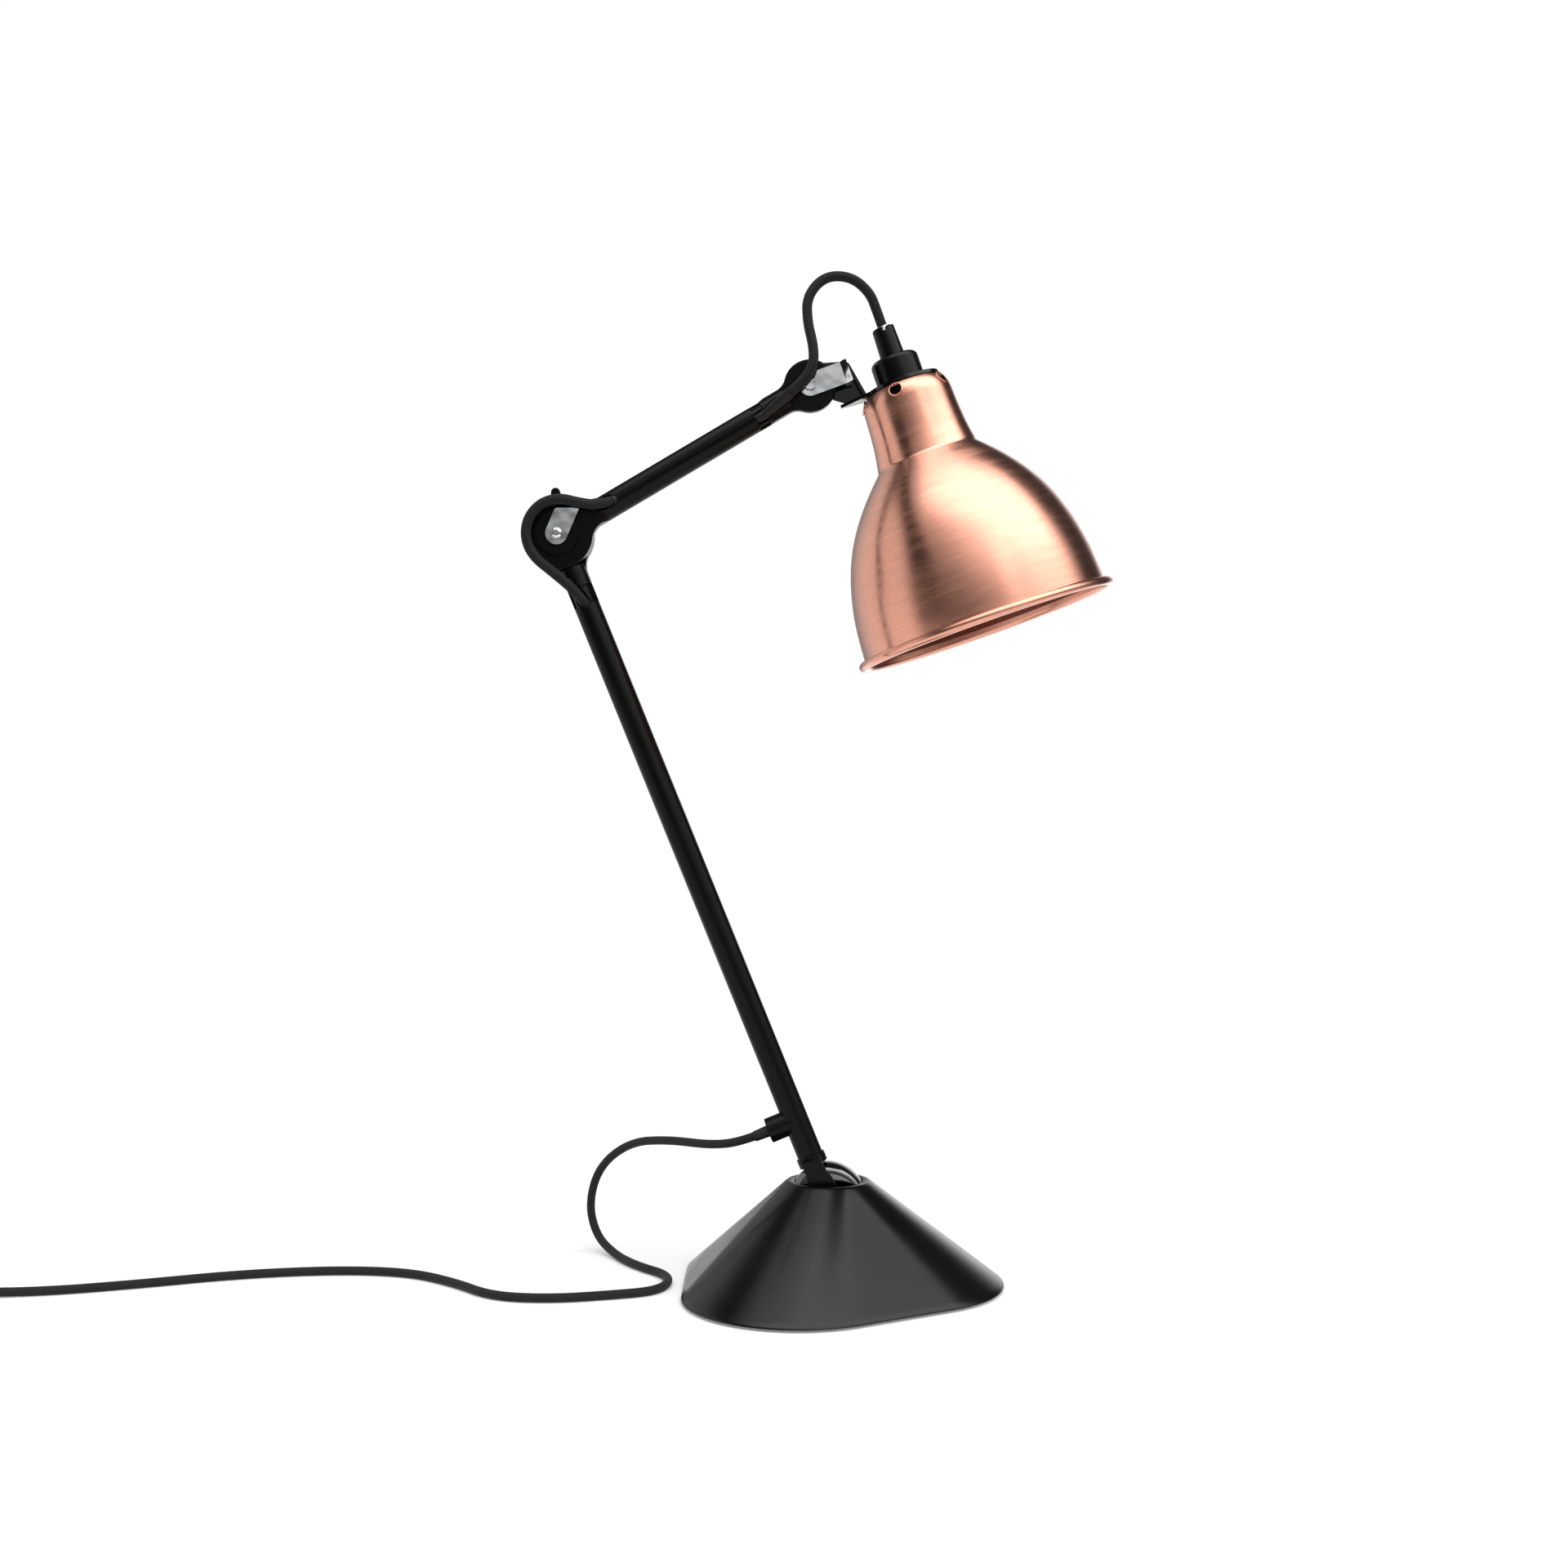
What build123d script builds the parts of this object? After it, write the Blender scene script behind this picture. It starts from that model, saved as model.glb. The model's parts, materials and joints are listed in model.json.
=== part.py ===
# Desk lamp with a heavy three-cornered base, a jointed two-part arm and a spun bell shade.
# Millimetres. The origin is on the table, under the ball of the base joint. +X is the side that the
# shade reaches to, +Y is away from the viewer, and +Z is up. Both arm parts lie in the plane Y = 0.

import math
import os

from build123d import *

os.makedirs("parts", exist_ok=True)

# Running clearances
turning_gap = 0.05
ball_gap = 0.3
disc_gap = 0.1
free_gap = 0.3

# Base casting: a cone that runs from a round mouth to a three-cornered foot
base_height = 55.2
foot_corner_reach = 32.0
foot_corner_radius = 59.5
foot_edge_round = 0.8
mouth_outer_radius = 21.5
mouth_hole_radius = 17.75
mouth_corner_reach = 0.3
mouth_edge_round = 1.2
pad_thickness = 1.2
pad_inset = 5.0

# Base joint: a ball with two flats, a fork that straddles it, and the clamp under it
ball_radius = 20.0
ball_below_mouth = 10.4
ball_half_width = 9.3
ear_thickness = 3.2
ear_top_width = 10.0
ear_end_radius = 8.2
ear_taper_start = 5.0
ear_shoulder = 1.0
ear_top = 24.4
pin_radius = 3.0
pin_chamfer = 0.3
collar_radius = 7.65
collar_height = 4.7
collar_edge_round = 0.3
fork_spigot_length = 12.0
cup_height = 10.0
cup_inner_radius = 10.0
spring_thickness = 1.1
spring_cone = 0.9
spring_inner_radius = 11.0
spring_count = 3
clamp_plug_thickness = 11.0
clamp_plug_hole_radius = 6.0
spanner_hole_radius = 2.0
spanner_hole_circle = 13.0

# Stem and upper arm: tubes of the same stock
stem_lean = 22.1
stem_length = 374.4
arm_rise = 30.6
arm_length = 152.6
tube_radius = 6.75
tube_wall = 1.25
stem_scoop_length = 10.0
arm_scoop_length = 6.0
stem_tube_to_elbow = 29.4
arm_tube_to_elbow = 27.0
arm_tube_to_head = 27.5
spigot_length = 12.0

# Elbow: two stacked discs, a friction washer, and the bolt with its front and rear levers
elbow_disc_radius = 18.4
elbow_disc_outer = 6.6
elbow_neck_fillet = 11.0
friction_washer_thickness = 1.0
elbow_washer_radius = 12.0
boss_radius = 11.0
boss_rim = 2.2
boss_height = 1.0
boss_rim_height = 0.4
boss_edge_round = 0.3
bolt_radius = 3.0
disc_edge_round = 0.8

# Lever plates and screws
lever_thickness = 1.5
lever_end_radius = 5.8
lever_corner_round = 2.0
elbow_lever_angle = 67.0
elbow_lever_length = 17.6
elbow_lever_top = 13.1
screw_head_radius = 2.9
screw_head_height = 2.4
screw_head_round = 1.6
rear_lever_angle = 96.0
rear_lever_length = 26.4
rear_lever_tip_radius = 2.4
rear_lever_root_radius = 6.5
rear_lever_thickness = 3.0
rear_nut_thickness = 3.2
rear_nut_across_flats = 10.0

# Head joint: the disc on the arm, a washer, and the pressed bracket that carries the shade
head_disc_radius = 13.7
head_disc_outer = 4.3
head_neck_fillet = 9.0
head_washer_thickness = 0.8
head_washer_radius = 9.0
bracket_thickness = 1.6
bracket_eye_radius = 11.5
bracket_blend = 1.0
bracket_shoulder = (7.8, 10.6)
bracket_corner = (20.2, 7.2)
bracket_wall_top = (22.8, 4.2)
bracket_wall_foot = 26.3
bracket_foot_front = 20.0
bracket_tail = 15.0
bracket_tail_back = 12.0
bracket_waist = (10.6, -11.0)
head_lever_angle = 20.0
head_lever_length = 21.6
head_lever_tab = 2.8
head_lever_tab_run = 3.2
head_screw_radius = 3.0
head_screw_height = 1.7
head_screw_notches = 14
head_notch_radius = 0.3

# Head: the shade's axis stands off from the head joint, and leans
shade_lean = 19.1
shade_offset = 46.0
joint_above_shade = 15.7
shade_wall = 0.8
shade_height = 133.0
shade_rim_radius = 65.9
shade_waist_radius = 27.2
shade_neck_length = 39.5
shade_neck_radius = 24.0
shade_neck_flare = 1.6
shade_shoulder = 9.5
shade_top_round = 6.0
shade_hole_radius = 11.1
bead_radius = 2.3
vent_radius = 2.9
vent_count = 5
vent_below_top = 4.4
vent_rise = 32.0
vent_first_angle = -108.0
vent_cut = 5.0

# How far the bell has closed in from its rim to its waist, at shares of its height
bell_form = [(0.267, 0.049), (0.449, 0.145), (0.629, 0.310), (0.787, 0.543), (0.920, 0.811)]

# Lamp holder, its cap, and the lamp
carrier_radius = 20.0
cap_radius = 12.7
cap_height = 14.4
cap_round = 3.0
cap_neck_base_radius = 6.5
cap_neck_top_radius = 5.9
cap_neck_length = 16.0
cap_wall = 1.5
castle_depth = 2.2
castle_width = 2.6
castle_count = 4
collet_depth = 8.0
collet_wall = 1.3
collet_proud = 0.8
collet_slit = 0.6
holder_radius = 11.0
holder_above_shade = 7.0
holder_length = 39.0
ring_radius = 18.0
ring_thickness = 4.0
ring_lip = 2.5
lamp_cap_radius = 6.9
lamp_cap_length = 24.0
lamp_cap_depth = 18.0
lamp_cap_taper = 3.0
lamp_cap_shoulder = 1.5
lamp_glass_radius = 22.5
lamp_neck_radius = 6.4

# Cords
mains_cord_radius = 2.3
link_cord_radius = 2.65
sleeve_wall = 0.45
sleeve_length = 7.0
long_sleeve_length = 17.0
channel_gap = 0.45
cord_set_back_stem = 62.0
cord_set_back_elbow = 58.0
cord_set_back_head = 52.0
gland_cord_bend = 5.0
stem_cord_bend = 60.0
collet_straight = 9.4
gland_straight = 15.5
gland_height = 45.0
gland_radius = 6.6
gland_reach = 15.3
gland_seat_depth = 12.0
gland_edge_round = 0.5
bush_radius = 3.8
bush_gap = 0.1
relief_length = 8.0
relief_root_step = 0.7
relief_tip_wall = 0.35

# Coil of the spare mains cord, its tie and the plug
cord_lift = 0.1
coil_centre = (-482.0, 12.0)
coil_inner_radius = 19.0
coil_pitch = 5.9
coil_rise = 5.2
coil_layer_turns = 2.875
climb_turns = 0.5
coil_lead = 30.0
coil_tail = 22.0
tie_width = 8.0
tie_thickness = 0.5
tie_gap = 0.2
tie_angle = 90.0
plug_width = 35.0
plug_length = 26.0
tie_corner_round = 1.0
plug_nose = 12.0
plug_nose_radius = 4.2
plug_nose_root_radius = 5.9
plug_shoulder_width = 24.5
plug_shoulder_length = 8.7
plug_shoulder_inset = 1.6
plug_edge_round = 3.0
plug_pin_radius = 2.0
plug_pin_length = 19.0
plug_pin_spacing = 19.0
plug_pin_round = 1.2

# Routes of the cords, as points chosen by hand. The first two are measured from their own joints.
elbow_route = [
    (14.6, -3.6, -36.4),
    (9.6, -6.4, -29.8),
    (-1.4, -9.8, -20.6),
    (-11.6, -11.2, -12.6),
    (-16.0, -11.6, -3.4),
    (-14.8, -12.0, 7.2),
    (-7.8, -12.6, 15.2),
    (2.0, -12.8, 17.8),
    (12.0, -11.6, 15.4),
    (20.4, -8.0, 14.8),
    (28.2, -4.4, 17.4),
]
head_route = [
    (-10.3, -8.2, -4.7),
    (-3.6, -10.6, 0.6),
    (1.8, -11.0, 9.0),
    (1.6, -9.4, 19.5),
    (-1.4, -6.6, 32.0),
    (-1.8, -5.0, 46.0),
    (7.6, -3.0, 57.2),
    (21.4, -1.4, 57.4),
    (31.2, -0.3, 49.4),
]
mains_route = [
    (-62.0, 12.0, 71.0),
    (-85.0, 35.0, 69.6),
    (-108.0, 57.0, 64.6),
    (-127.0, 73.0, 48.0),
    (-133.5, 78.0, 26.0),
    (-129.0, 74.0, 9.0),
    (-117.5, 57.0, 2.4),
    (-103.0, 31.0, 2.4),
    (-82.0, 9.0, 2.4),
    (-86.0, -19.0, 2.4),
    (-112.0, -28.0, 2.4),
    (-141.0, -34.5, 2.4),
    (-171.0, -30.0, 2.4),
    (-194.0, -4.0, 2.4),
    (-222.0, 17.0, 2.4),
    (-262.0, 22.0, 2.4),
    (-312.0, 13.0, 2.4),
    (-362.0, -8.0, 2.4),
    (-406.0, -22.0, 2.4),
]

# Frames: one plane along each member, and one side plane that faces the viewer at each joint
up = Vector(0, 0, 1)
viewer = Vector(0, -1, 0)


def tilted(angle):
    """A unit vector in the plane Y = 0, at an angle in degrees above +X."""
    return Vector(math.cos(math.radians(angle)), 0, math.sin(math.radians(angle)))


stem_way = tilted(90 + stem_lean)
arm_way = tilted(arm_rise)
head_across = tilted(shade_lean)
head_up = tilted(90 + shade_lean)

ball_height = base_height - ball_below_mouth
ball_centre = Vector(0, 0, ball_height)
elbow = ball_centre + stem_way * stem_length
head = elbow + arm_way * arm_length
shade_drop = shade_height + joint_above_shade
rim_centre = head + head_across * shade_offset - head_up * shade_drop

stem_plane = Plane(origin=ball_centre, x_dir=tilted(stem_lean), z_dir=stem_way)
arm_plane = Plane(origin=elbow, x_dir=tilted(arm_rise - 90), z_dir=arm_way)
stem_side = Plane(origin=elbow, x_dir=stem_way * -1, z_dir=viewer)
arm_side = Plane(origin=elbow, x_dir=arm_way, z_dir=viewer)
arm_end_side = Plane(origin=head, x_dir=arm_way * -1, z_dir=viewer)
head_side = Plane(origin=head, x_dir=head_across, z_dir=viewer)
shade_side = Plane(origin=rim_centre, x_dir=head_across, z_dir=viewer)
shade_axis = Axis(rim_centre, head_up)
upright = Axis.Z

tube_bore = tube_radius - tube_wall
disc_inner = friction_washer_thickness / 2
head_disc_inner = head_washer_thickness / 2
floor_cord = mains_cord_radius + cord_lift


def finish(part, label):
    """Name a piece and write its file."""
    part.label = label
    export_step(part, f"parts/{label}.step")


def rod(start, end, radius):
    """A round bar from one point to another."""
    way = end - start
    with BuildPart() as bar:
        with BuildSketch(Plane(origin=start, z_dir=way)):
            Circle(radius)
        extrude(amount=way.length)
    return bar.part


def cross_rod(centre, radius, front, back):
    """A round bar along the joint axis, from its front end to its back end."""
    return rod(centre + viewer * front, centre - viewer * back, radius)


# Base casting, pad and the clamp that presses on the ball from below
def foot_outline(plane, corner_reach, corner_radius):
    """Three round corners joined by straight edges, one corner towards +X."""
    with BuildSketch(plane) as outline:
        RegularPolygon(radius=corner_reach, side_count=3)
        offset(amount=corner_radius, kind=Kind.ARC)
    return outline.sketch


with BuildPart() as base_casting:
    add(foot_outline(Plane.XY.offset(pad_thickness), foot_corner_reach, foot_corner_radius))
    mouth_corner_radius = mouth_outer_radius - mouth_corner_reach
    add(foot_outline(Plane.XY.offset(base_height), mouth_corner_reach, mouth_corner_radius))
    loft(ruled=True)
    fillet(base_casting.faces().sort_by(Axis.Z)[0].edges(), foot_edge_round)
    fillet(base_casting.faces().sort_by(Axis.Z)[-1].edges(), mouth_edge_round)
    with BuildSketch(Plane.XY.offset(pad_thickness)):
        Circle(ball_radius + ball_gap)
    extrude(amount=ball_height - pad_thickness, mode=Mode.SUBTRACT)
    with Locations(ball_centre):
        Sphere(ball_radius + ball_gap, mode=Mode.SUBTRACT)
    with BuildSketch(Plane.XY.offset(ball_height)):
        Circle(mouth_hole_radius)
    extrude(amount=base_height, mode=Mode.SUBTRACT)
finish(base_casting.part, "base_casting")

with BuildPart() as base_pad:
    add(foot_outline(Plane.XY, foot_corner_reach, foot_corner_radius - pad_inset))
    extrude(amount=pad_thickness)
finish(base_pad.part, "base_pad")

clamp_radius = ball_radius + ball_gap - disc_gap
cup_bottom = ball_height - ball_radius
cup_contact = math.sqrt((ball_radius + disc_gap) ** 2 - cup_inner_radius**2)

with BuildPart() as bearing_cup:
    with BuildSketch(Plane.XY.offset(cup_bottom)):
        Circle(clamp_radius)
        Circle(cup_inner_radius, mode=Mode.SUBTRACT)
    extrude(amount=cup_height)
    with Locations(ball_centre):
        Sphere(ball_radius + disc_gap, mode=Mode.SUBTRACT)
finish(bearing_cup.part, "bearing_cup")

spring_step = spring_thickness + spring_cone + disc_gap
with BuildPart() as disc_springs:
    for k in range(spring_count):
        low = cup_bottom - (k + 1) * spring_step
        with BuildSketch(Plane.XZ):
            with BuildLine():
                Polyline(
                    (spring_inner_radius, low + spring_cone),
                    (clamp_radius, low),
                    (clamp_radius, low + spring_thickness),
                    (spring_inner_radius, low + spring_cone + spring_thickness),
                    close=True,
                )
            make_face()
        revolve(axis=upright)
finish(disc_springs.part, "disc_springs")

clamp_plug_top = cup_bottom - spring_count * spring_step
with BuildPart() as retaining_plug:
    with BuildSketch(Plane.XY.offset(clamp_plug_top - clamp_plug_thickness)):
        Circle(clamp_radius)
        Circle(clamp_plug_hole_radius, mode=Mode.SUBTRACT)
        with PolarLocations(spanner_hole_circle, 2):
            Circle(spanner_hole_radius, mode=Mode.SUBTRACT)
    extrude(amount=clamp_plug_thickness)
finish(retaining_plug.part, "retaining_plug")

# Swivel ball: a ball with a flat on each side for the fork
with BuildPart() as swivel_ball:
    with Locations(ball_centre):
        Sphere(ball_radius)
    with BuildSketch(Plane.XZ):
        Circle(2 * ball_height)
    extrude(amount=ball_half_width, both=True, mode=Mode.INTERSECT)
    add(cross_rod(ball_centre, pin_radius + turning_gap, ball_radius, ball_radius), mode=Mode.SUBTRACT)
finish(swivel_ball.part, "swivel_ball")

# Stem: fork, pin, tube, cord gland and upper eye
fork_side = Plane(origin=ball_centre, x_dir=stem_way, z_dir=viewer)
ear_inner = ball_half_width + ball_gap
ear_outer = ear_inner + ear_thickness
collar_bottom = ball_radius + ball_gap
collar_top = collar_bottom + collar_height

with BuildPart() as fork:
    with BuildSketch(stem_plane.offset(collar_bottom)):
        Circle(collar_radius)
    extrude(amount=collar_height)
    fillet(fork.edges().filter_by(GeomType.CIRCLE), collar_edge_round)
    with BuildSketch(stem_plane.offset(collar_top)):
        Circle(tube_bore - turning_gap)
    extrude(amount=fork_spigot_length)
    for side in (fork_side.offset(ear_inner), fork_side.offset(-ear_outer)):
        with BuildSketch(side):
            Circle(ear_end_radius)
            with BuildLine():
                Polyline(
                    (0, ear_end_radius),
                    (ear_taper_start, ear_end_radius),
                    (collar_bottom - ear_shoulder, ear_top_width / 2),
                    (ear_top, ear_top_width / 2),
                    (ear_top, -ear_top_width / 2),
                    (collar_bottom - ear_shoulder, -ear_top_width / 2),
                    (ear_taper_start, -ear_end_radius),
                    (0, -ear_end_radius),
                    close=True,
                )
            make_face()
        extrude(amount=ear_thickness)
    with BuildSketch(stem_plane.offset(collar_bottom)):
        Rectangle(ear_top_width, 2 * ear_outer)
    extrude(amount=ear_top - collar_bottom)
    add(cross_rod(ball_centre, pin_radius, ball_radius, ball_radius), mode=Mode.SUBTRACT)
finish(fork.part, "fork")

with BuildPart() as fork_pin:
    add(cross_rod(ball_centre, pin_radius, ear_outer, ear_outer))
    chamfer(fork_pin.edges().filter_by(GeomType.CIRCLE), pin_chamfer)
finish(fork_pin.part, "fork_pin")

gland_foot = ball_centre + stem_way * gland_height
gland_way = tilted(180 + stem_lean)
gland_end = gland_foot + gland_way * gland_reach
gland_seat = gland_end - gland_way * gland_seat_depth


def route_from(origin, offsets):
    """The points of a route that is measured from a joint."""
    return [origin + Vector(*point) for point in offsets]


elbow_points = route_from(elbow, elbow_route)
carrier_top = shade_height + bracket_thickness
cap_top = carrier_top + cap_height
cap_neck_top = cap_top + cap_neck_length
collet_end = rim_centre + head_up * (cap_neck_top + collet_proud)
head_points = route_from(head, head_route) + [collet_end + head_up * collet_straight, collet_end]


def sleeve_span(exit_point, next_point, length):
    """Where a sleeve starts inside its tube, and where the cord leaves it."""
    way = (next_point - exit_point).normalized()
    return exit_point - way * length, exit_point


stem_sleeve_in, stem_sleeve_out = sleeve_span(elbow_points[0], elbow_points[1], sleeve_length)
arm_sleeve_in, arm_sleeve_out = sleeve_span(elbow_points[-1], elbow_points[-2], sleeve_length)
head_sleeve_in, head_sleeve_out = sleeve_span(head_points[0], head_points[1], long_sleeve_length)
sleeve_radius = link_cord_radius + sleeve_wall
channel_radius = sleeve_radius + channel_gap

# Inside the tubes the cord runs on from each sleeve to the middle of the bore
stem_bend = ball_centre + stem_way * (stem_length - cord_set_back_stem)
arm_bend_low = elbow + arm_way * cord_set_back_elbow
arm_bend_high = head - arm_way * cord_set_back_head


def bend_radii(points):
    """The radius of each bend: 0.45 of the shorter run over the tangent of half the turn."""
    radii = []
    for before, corner, after in zip(points, points[1:], points[2:]):
        half_turn = math.radians((corner - before).get_angle(after - corner)) / 2
        shorter = min((corner - before).length, (after - corner).length)
        radii.append(0.45 * shorter / math.tan(half_turn))
    return radii


def cord_tube(points, radius, radii=None, name=None):
    """A round bar along a route of straight runs joined by tangent arcs. A named one is measured."""
    radii = radii or bend_radii(points)
    with BuildPart() as tube:
        with BuildLine() as line:
            FilletPolyline(*points, radius=radii)
        with BuildSketch(Plane(origin=points[0], z_dir=points[1] - points[0])):
            Circle(radius)
        sweep(path=line.line)
    if name:
        length = line.wire().length
        ratio = tube.part.volume / (math.pi * radius**2 * length)
        print(f"{name}: length {length:.1f}, least bend {min(radii):.1f}, volume ratio {ratio:.4f}")
    return tube.part


def cut_channel(route, sleeve_in, bend):
    """Cut the way of a cord through the piece being built, from its route in to the tube's middle."""
    add(cord_tube(route, channel_radius), mode=Mode.SUBTRACT)
    add(rod(sleeve_in, route[0], channel_radius), mode=Mode.SUBTRACT)
    add(rod(bend, sleeve_in, channel_radius), mode=Mode.SUBTRACT)
    with Locations(sleeve_in, route[0]):
        Sphere(channel_radius, mode=Mode.SUBTRACT)


stem_channel = (elbow_points, stem_sleeve_in, stem_bend)
arm_low_channel = (elbow_points[::-1], arm_sleeve_in, arm_bend_low)
arm_high_channel = (head_points, head_sleeve_in, arm_bend_high)

stem_tube_end = stem_length - stem_tube_to_elbow
with BuildPart() as stem_tube:
    with BuildSketch(stem_plane.offset(collar_top)):
        Circle(tube_radius)
        Circle(tube_bore, mode=Mode.SUBTRACT)
    extrude(amount=stem_tube_end - collar_top)
    with BuildSketch(stem_plane.offset(stem_tube_end - stem_scoop_length)):
        with Locations((0, -tube_radius)):
            Rectangle(3 * tube_radius, 2 * tube_radius)
    extrude(amount=2 * stem_scoop_length, mode=Mode.SUBTRACT)
    add(rod(gland_foot, gland_end, mains_cord_radius + channel_gap), mode=Mode.SUBTRACT)
    cut_channel(*stem_channel)
finish(stem_tube.part, "stem_tube")

with BuildPart() as cord_gland:
    add(rod(gland_foot, gland_end, gland_radius))
    fillet(cord_gland.edges().filter_by(GeomType.CIRCLE).group_by(SortBy.DISTANCE)[-1], gland_edge_round)
    add(rod(ball_centre, elbow, tube_radius), mode=Mode.SUBTRACT)
    add(rod(gland_foot, gland_end, mains_cord_radius + channel_gap), mode=Mode.SUBTRACT)
    add(rod(gland_seat, gland_end, bush_radius), mode=Mode.SUBTRACT)
finish(cord_gland.part, "cord_gland")

gland_side = Plane(origin=gland_end, x_dir=gland_way, z_dir=viewer)
with BuildPart() as gland_bush:
    with BuildSketch(gland_side):
        with BuildLine():
            Polyline(
                (-gland_seat_depth, mains_cord_radius + bush_gap),
                (relief_length, mains_cord_radius + bush_gap),
                (relief_length, mains_cord_radius + bush_gap + relief_tip_wall),
                (0, bush_radius - relief_root_step),
                (0, bush_radius),
                (-gland_seat_depth, bush_radius),
                close=True,
            )
        make_face()
    revolve(axis=Axis(gland_end, gland_way))
    add(rod(ball_centre, elbow, tube_radius + free_gap), mode=Mode.SUBTRACT)
finish(gland_bush.part, "gland_bush")


def neck_envelope(side, disc_radius, low, high, neck_end):
    """The room that an eye may fill: its disc, and a cone from the disc down to the tube."""
    with BuildPart() as room:
        with BuildSketch(side.offset(low)):
            Circle(disc_radius)
        extrude(amount=high - low)
        with BuildSketch(Plane(origin=side.origin + side.x_dir * disc_radius / 2, z_dir=side.x_dir)):
            Circle(disc_radius)
        with BuildSketch(Plane(origin=side.origin + side.x_dir * neck_end, z_dir=side.x_dir)):
            Circle(tube_radius)
        loft()
    return room.part


def eye(side, disc_radius, faces, neck_end, neck_fillet):
    """A disc on the joint axis, with a flared neck, a round end and a spigot for the tube."""
    low, high = faces
    outer_face = -1 if high > 0 else 0
    with BuildPart() as piece:
        with BuildSketch(side.offset(low)) as outline:
            Circle(disc_radius)
            with Locations((neck_end / 2, 0)):
                Rectangle(neck_end, 2 * tube_radius)
            fillet(outline.vertices().group_by(Axis.X)[-2], neck_fillet)
        extrude(amount=high - low)
        fillet(piece.faces().sort_by(Axis(side.origin, side.z_dir))[outer_face].edges(), disc_edge_round)
        add(neck_envelope(side, disc_radius, low, high, neck_end), mode=Mode.INTERSECT)
        neck_start = side.origin + side.x_dir * (disc_radius + free_gap)
        tube_start = side.origin + side.x_dir * neck_end
        add(rod(neck_start, tube_start, tube_radius))
        add(rod(tube_start, tube_start + side.x_dir * spigot_length, tube_bore - turning_gap))
    return piece.part


with BuildPart() as stem_eye:
    stem_eye_faces = (-elbow_disc_outer, -disc_inner)
    add(eye(stem_side, elbow_disc_radius, stem_eye_faces, stem_tube_to_elbow, elbow_neck_fillet))
    add(cross_rod(elbow, bolt_radius + turning_gap, tube_radius, tube_radius), mode=Mode.SUBTRACT)
    cut_channel(*stem_channel)
finish(stem_eye.part, "stem_eye")

with BuildPart() as stem_cord_sleeve:
    add(rod(stem_sleeve_in, stem_sleeve_out, sleeve_radius))
finish(stem_cord_sleeve.part, "stem_cord_sleeve")

# Upper arm: an eye at each end of the tube, and a sleeve where the cord goes in and comes out
with BuildPart() as arm_eye_low:
    arm_eye_faces = (disc_inner, elbow_disc_outer)
    add(eye(arm_side, elbow_disc_radius, arm_eye_faces, arm_tube_to_elbow, elbow_neck_fillet))
    with BuildSketch(arm_side.offset(elbow_disc_outer)):
        Circle(boss_radius)
    extrude(amount=boss_height)
    with BuildSketch(arm_side.offset(elbow_disc_outer + boss_height)):
        Circle(boss_radius)
        Circle(boss_radius - boss_rim, mode=Mode.SUBTRACT)
    extrude(amount=boss_rim_height)
    fillet(arm_eye_low.edges().filter_by(GeomType.CIRCLE).sort_by(Axis.Y)[0:2], boss_edge_round)
    add(cross_rod(elbow, bolt_radius + turning_gap, 2 * tube_radius, tube_radius), mode=Mode.SUBTRACT)
    cut_channel(*arm_low_channel)
finish(arm_eye_low.part, "arm_eye_low")

arm_tube_start = arm_tube_to_elbow
arm_tube_end = arm_length - arm_tube_to_head
with BuildPart() as arm_tube:
    with BuildSketch(arm_plane.offset(arm_tube_start)):
        Circle(tube_radius)
        Circle(tube_bore, mode=Mode.SUBTRACT)
    extrude(amount=arm_tube_end - arm_tube_start)
    with BuildSketch(arm_plane.offset(arm_tube_end - arm_scoop_length)):
        with Locations((0, -tube_radius)):
            Rectangle(3 * tube_radius, 2 * tube_radius)
    extrude(amount=2 * arm_scoop_length, mode=Mode.SUBTRACT)
    cut_channel(*arm_low_channel)
    cut_channel(*arm_high_channel)
finish(arm_tube.part, "arm_tube")

with BuildPart() as arm_eye_high:
    head_eye_faces = (head_disc_inner, head_disc_outer)
    add(eye(arm_end_side, head_disc_radius, head_eye_faces, arm_tube_to_head, head_neck_fillet))
    add(cross_rod(head, bolt_radius + turning_gap, tube_radius, tube_radius), mode=Mode.SUBTRACT)
    cut_channel(*arm_high_channel)
finish(arm_eye_high.part, "arm_eye_high")

with BuildPart() as arm_cord_sleeves:
    add(rod(arm_sleeve_in, arm_sleeve_out, sleeve_radius))
    add(rod(head_sleeve_in, head_sleeve_out, sleeve_radius))
finish(arm_cord_sleeves.part, "arm_cord_sleeves")

with BuildPart() as elbow_washer:
    with BuildSketch(arm_side.offset(-disc_inner + turning_gap)):
        Circle(elbow_washer_radius)
        Circle(bolt_radius + turning_gap, mode=Mode.SUBTRACT)
    extrude(amount=friction_washer_thickness - turning_gap)
finish(elbow_washer.part, "elbow_washer")


# Clamp bolts, levers, screws and nuts
def lever_plate(side, length, level, tab_run, tab):
    """A flat plate with a round end on the joint axis. Its far end may be bent out, over a run."""
    with BuildPart() as plate:
        with BuildSketch(side.offset(level)):
            Circle(lever_end_radius)
            with Locations(((length - tab_run) / 2, 0)):
                Rectangle(length - tab_run, 2 * lever_end_radius)
        extrude(amount=lever_thickness)
        if tab:
            with BuildSketch(Plane(origin=side.origin, x_dir=side.x_dir, z_dir=side.y_dir)):
                with BuildLine():
                    Polyline(
                        (length - tab_run, -level),
                        (length, -level - tab),
                        (length, -level - tab - lever_thickness),
                        (length - tab_run, -level - lever_thickness),
                        close=True,
                    )
                make_face()
            extrude(amount=lever_end_radius, both=True)
    return plate.part


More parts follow.
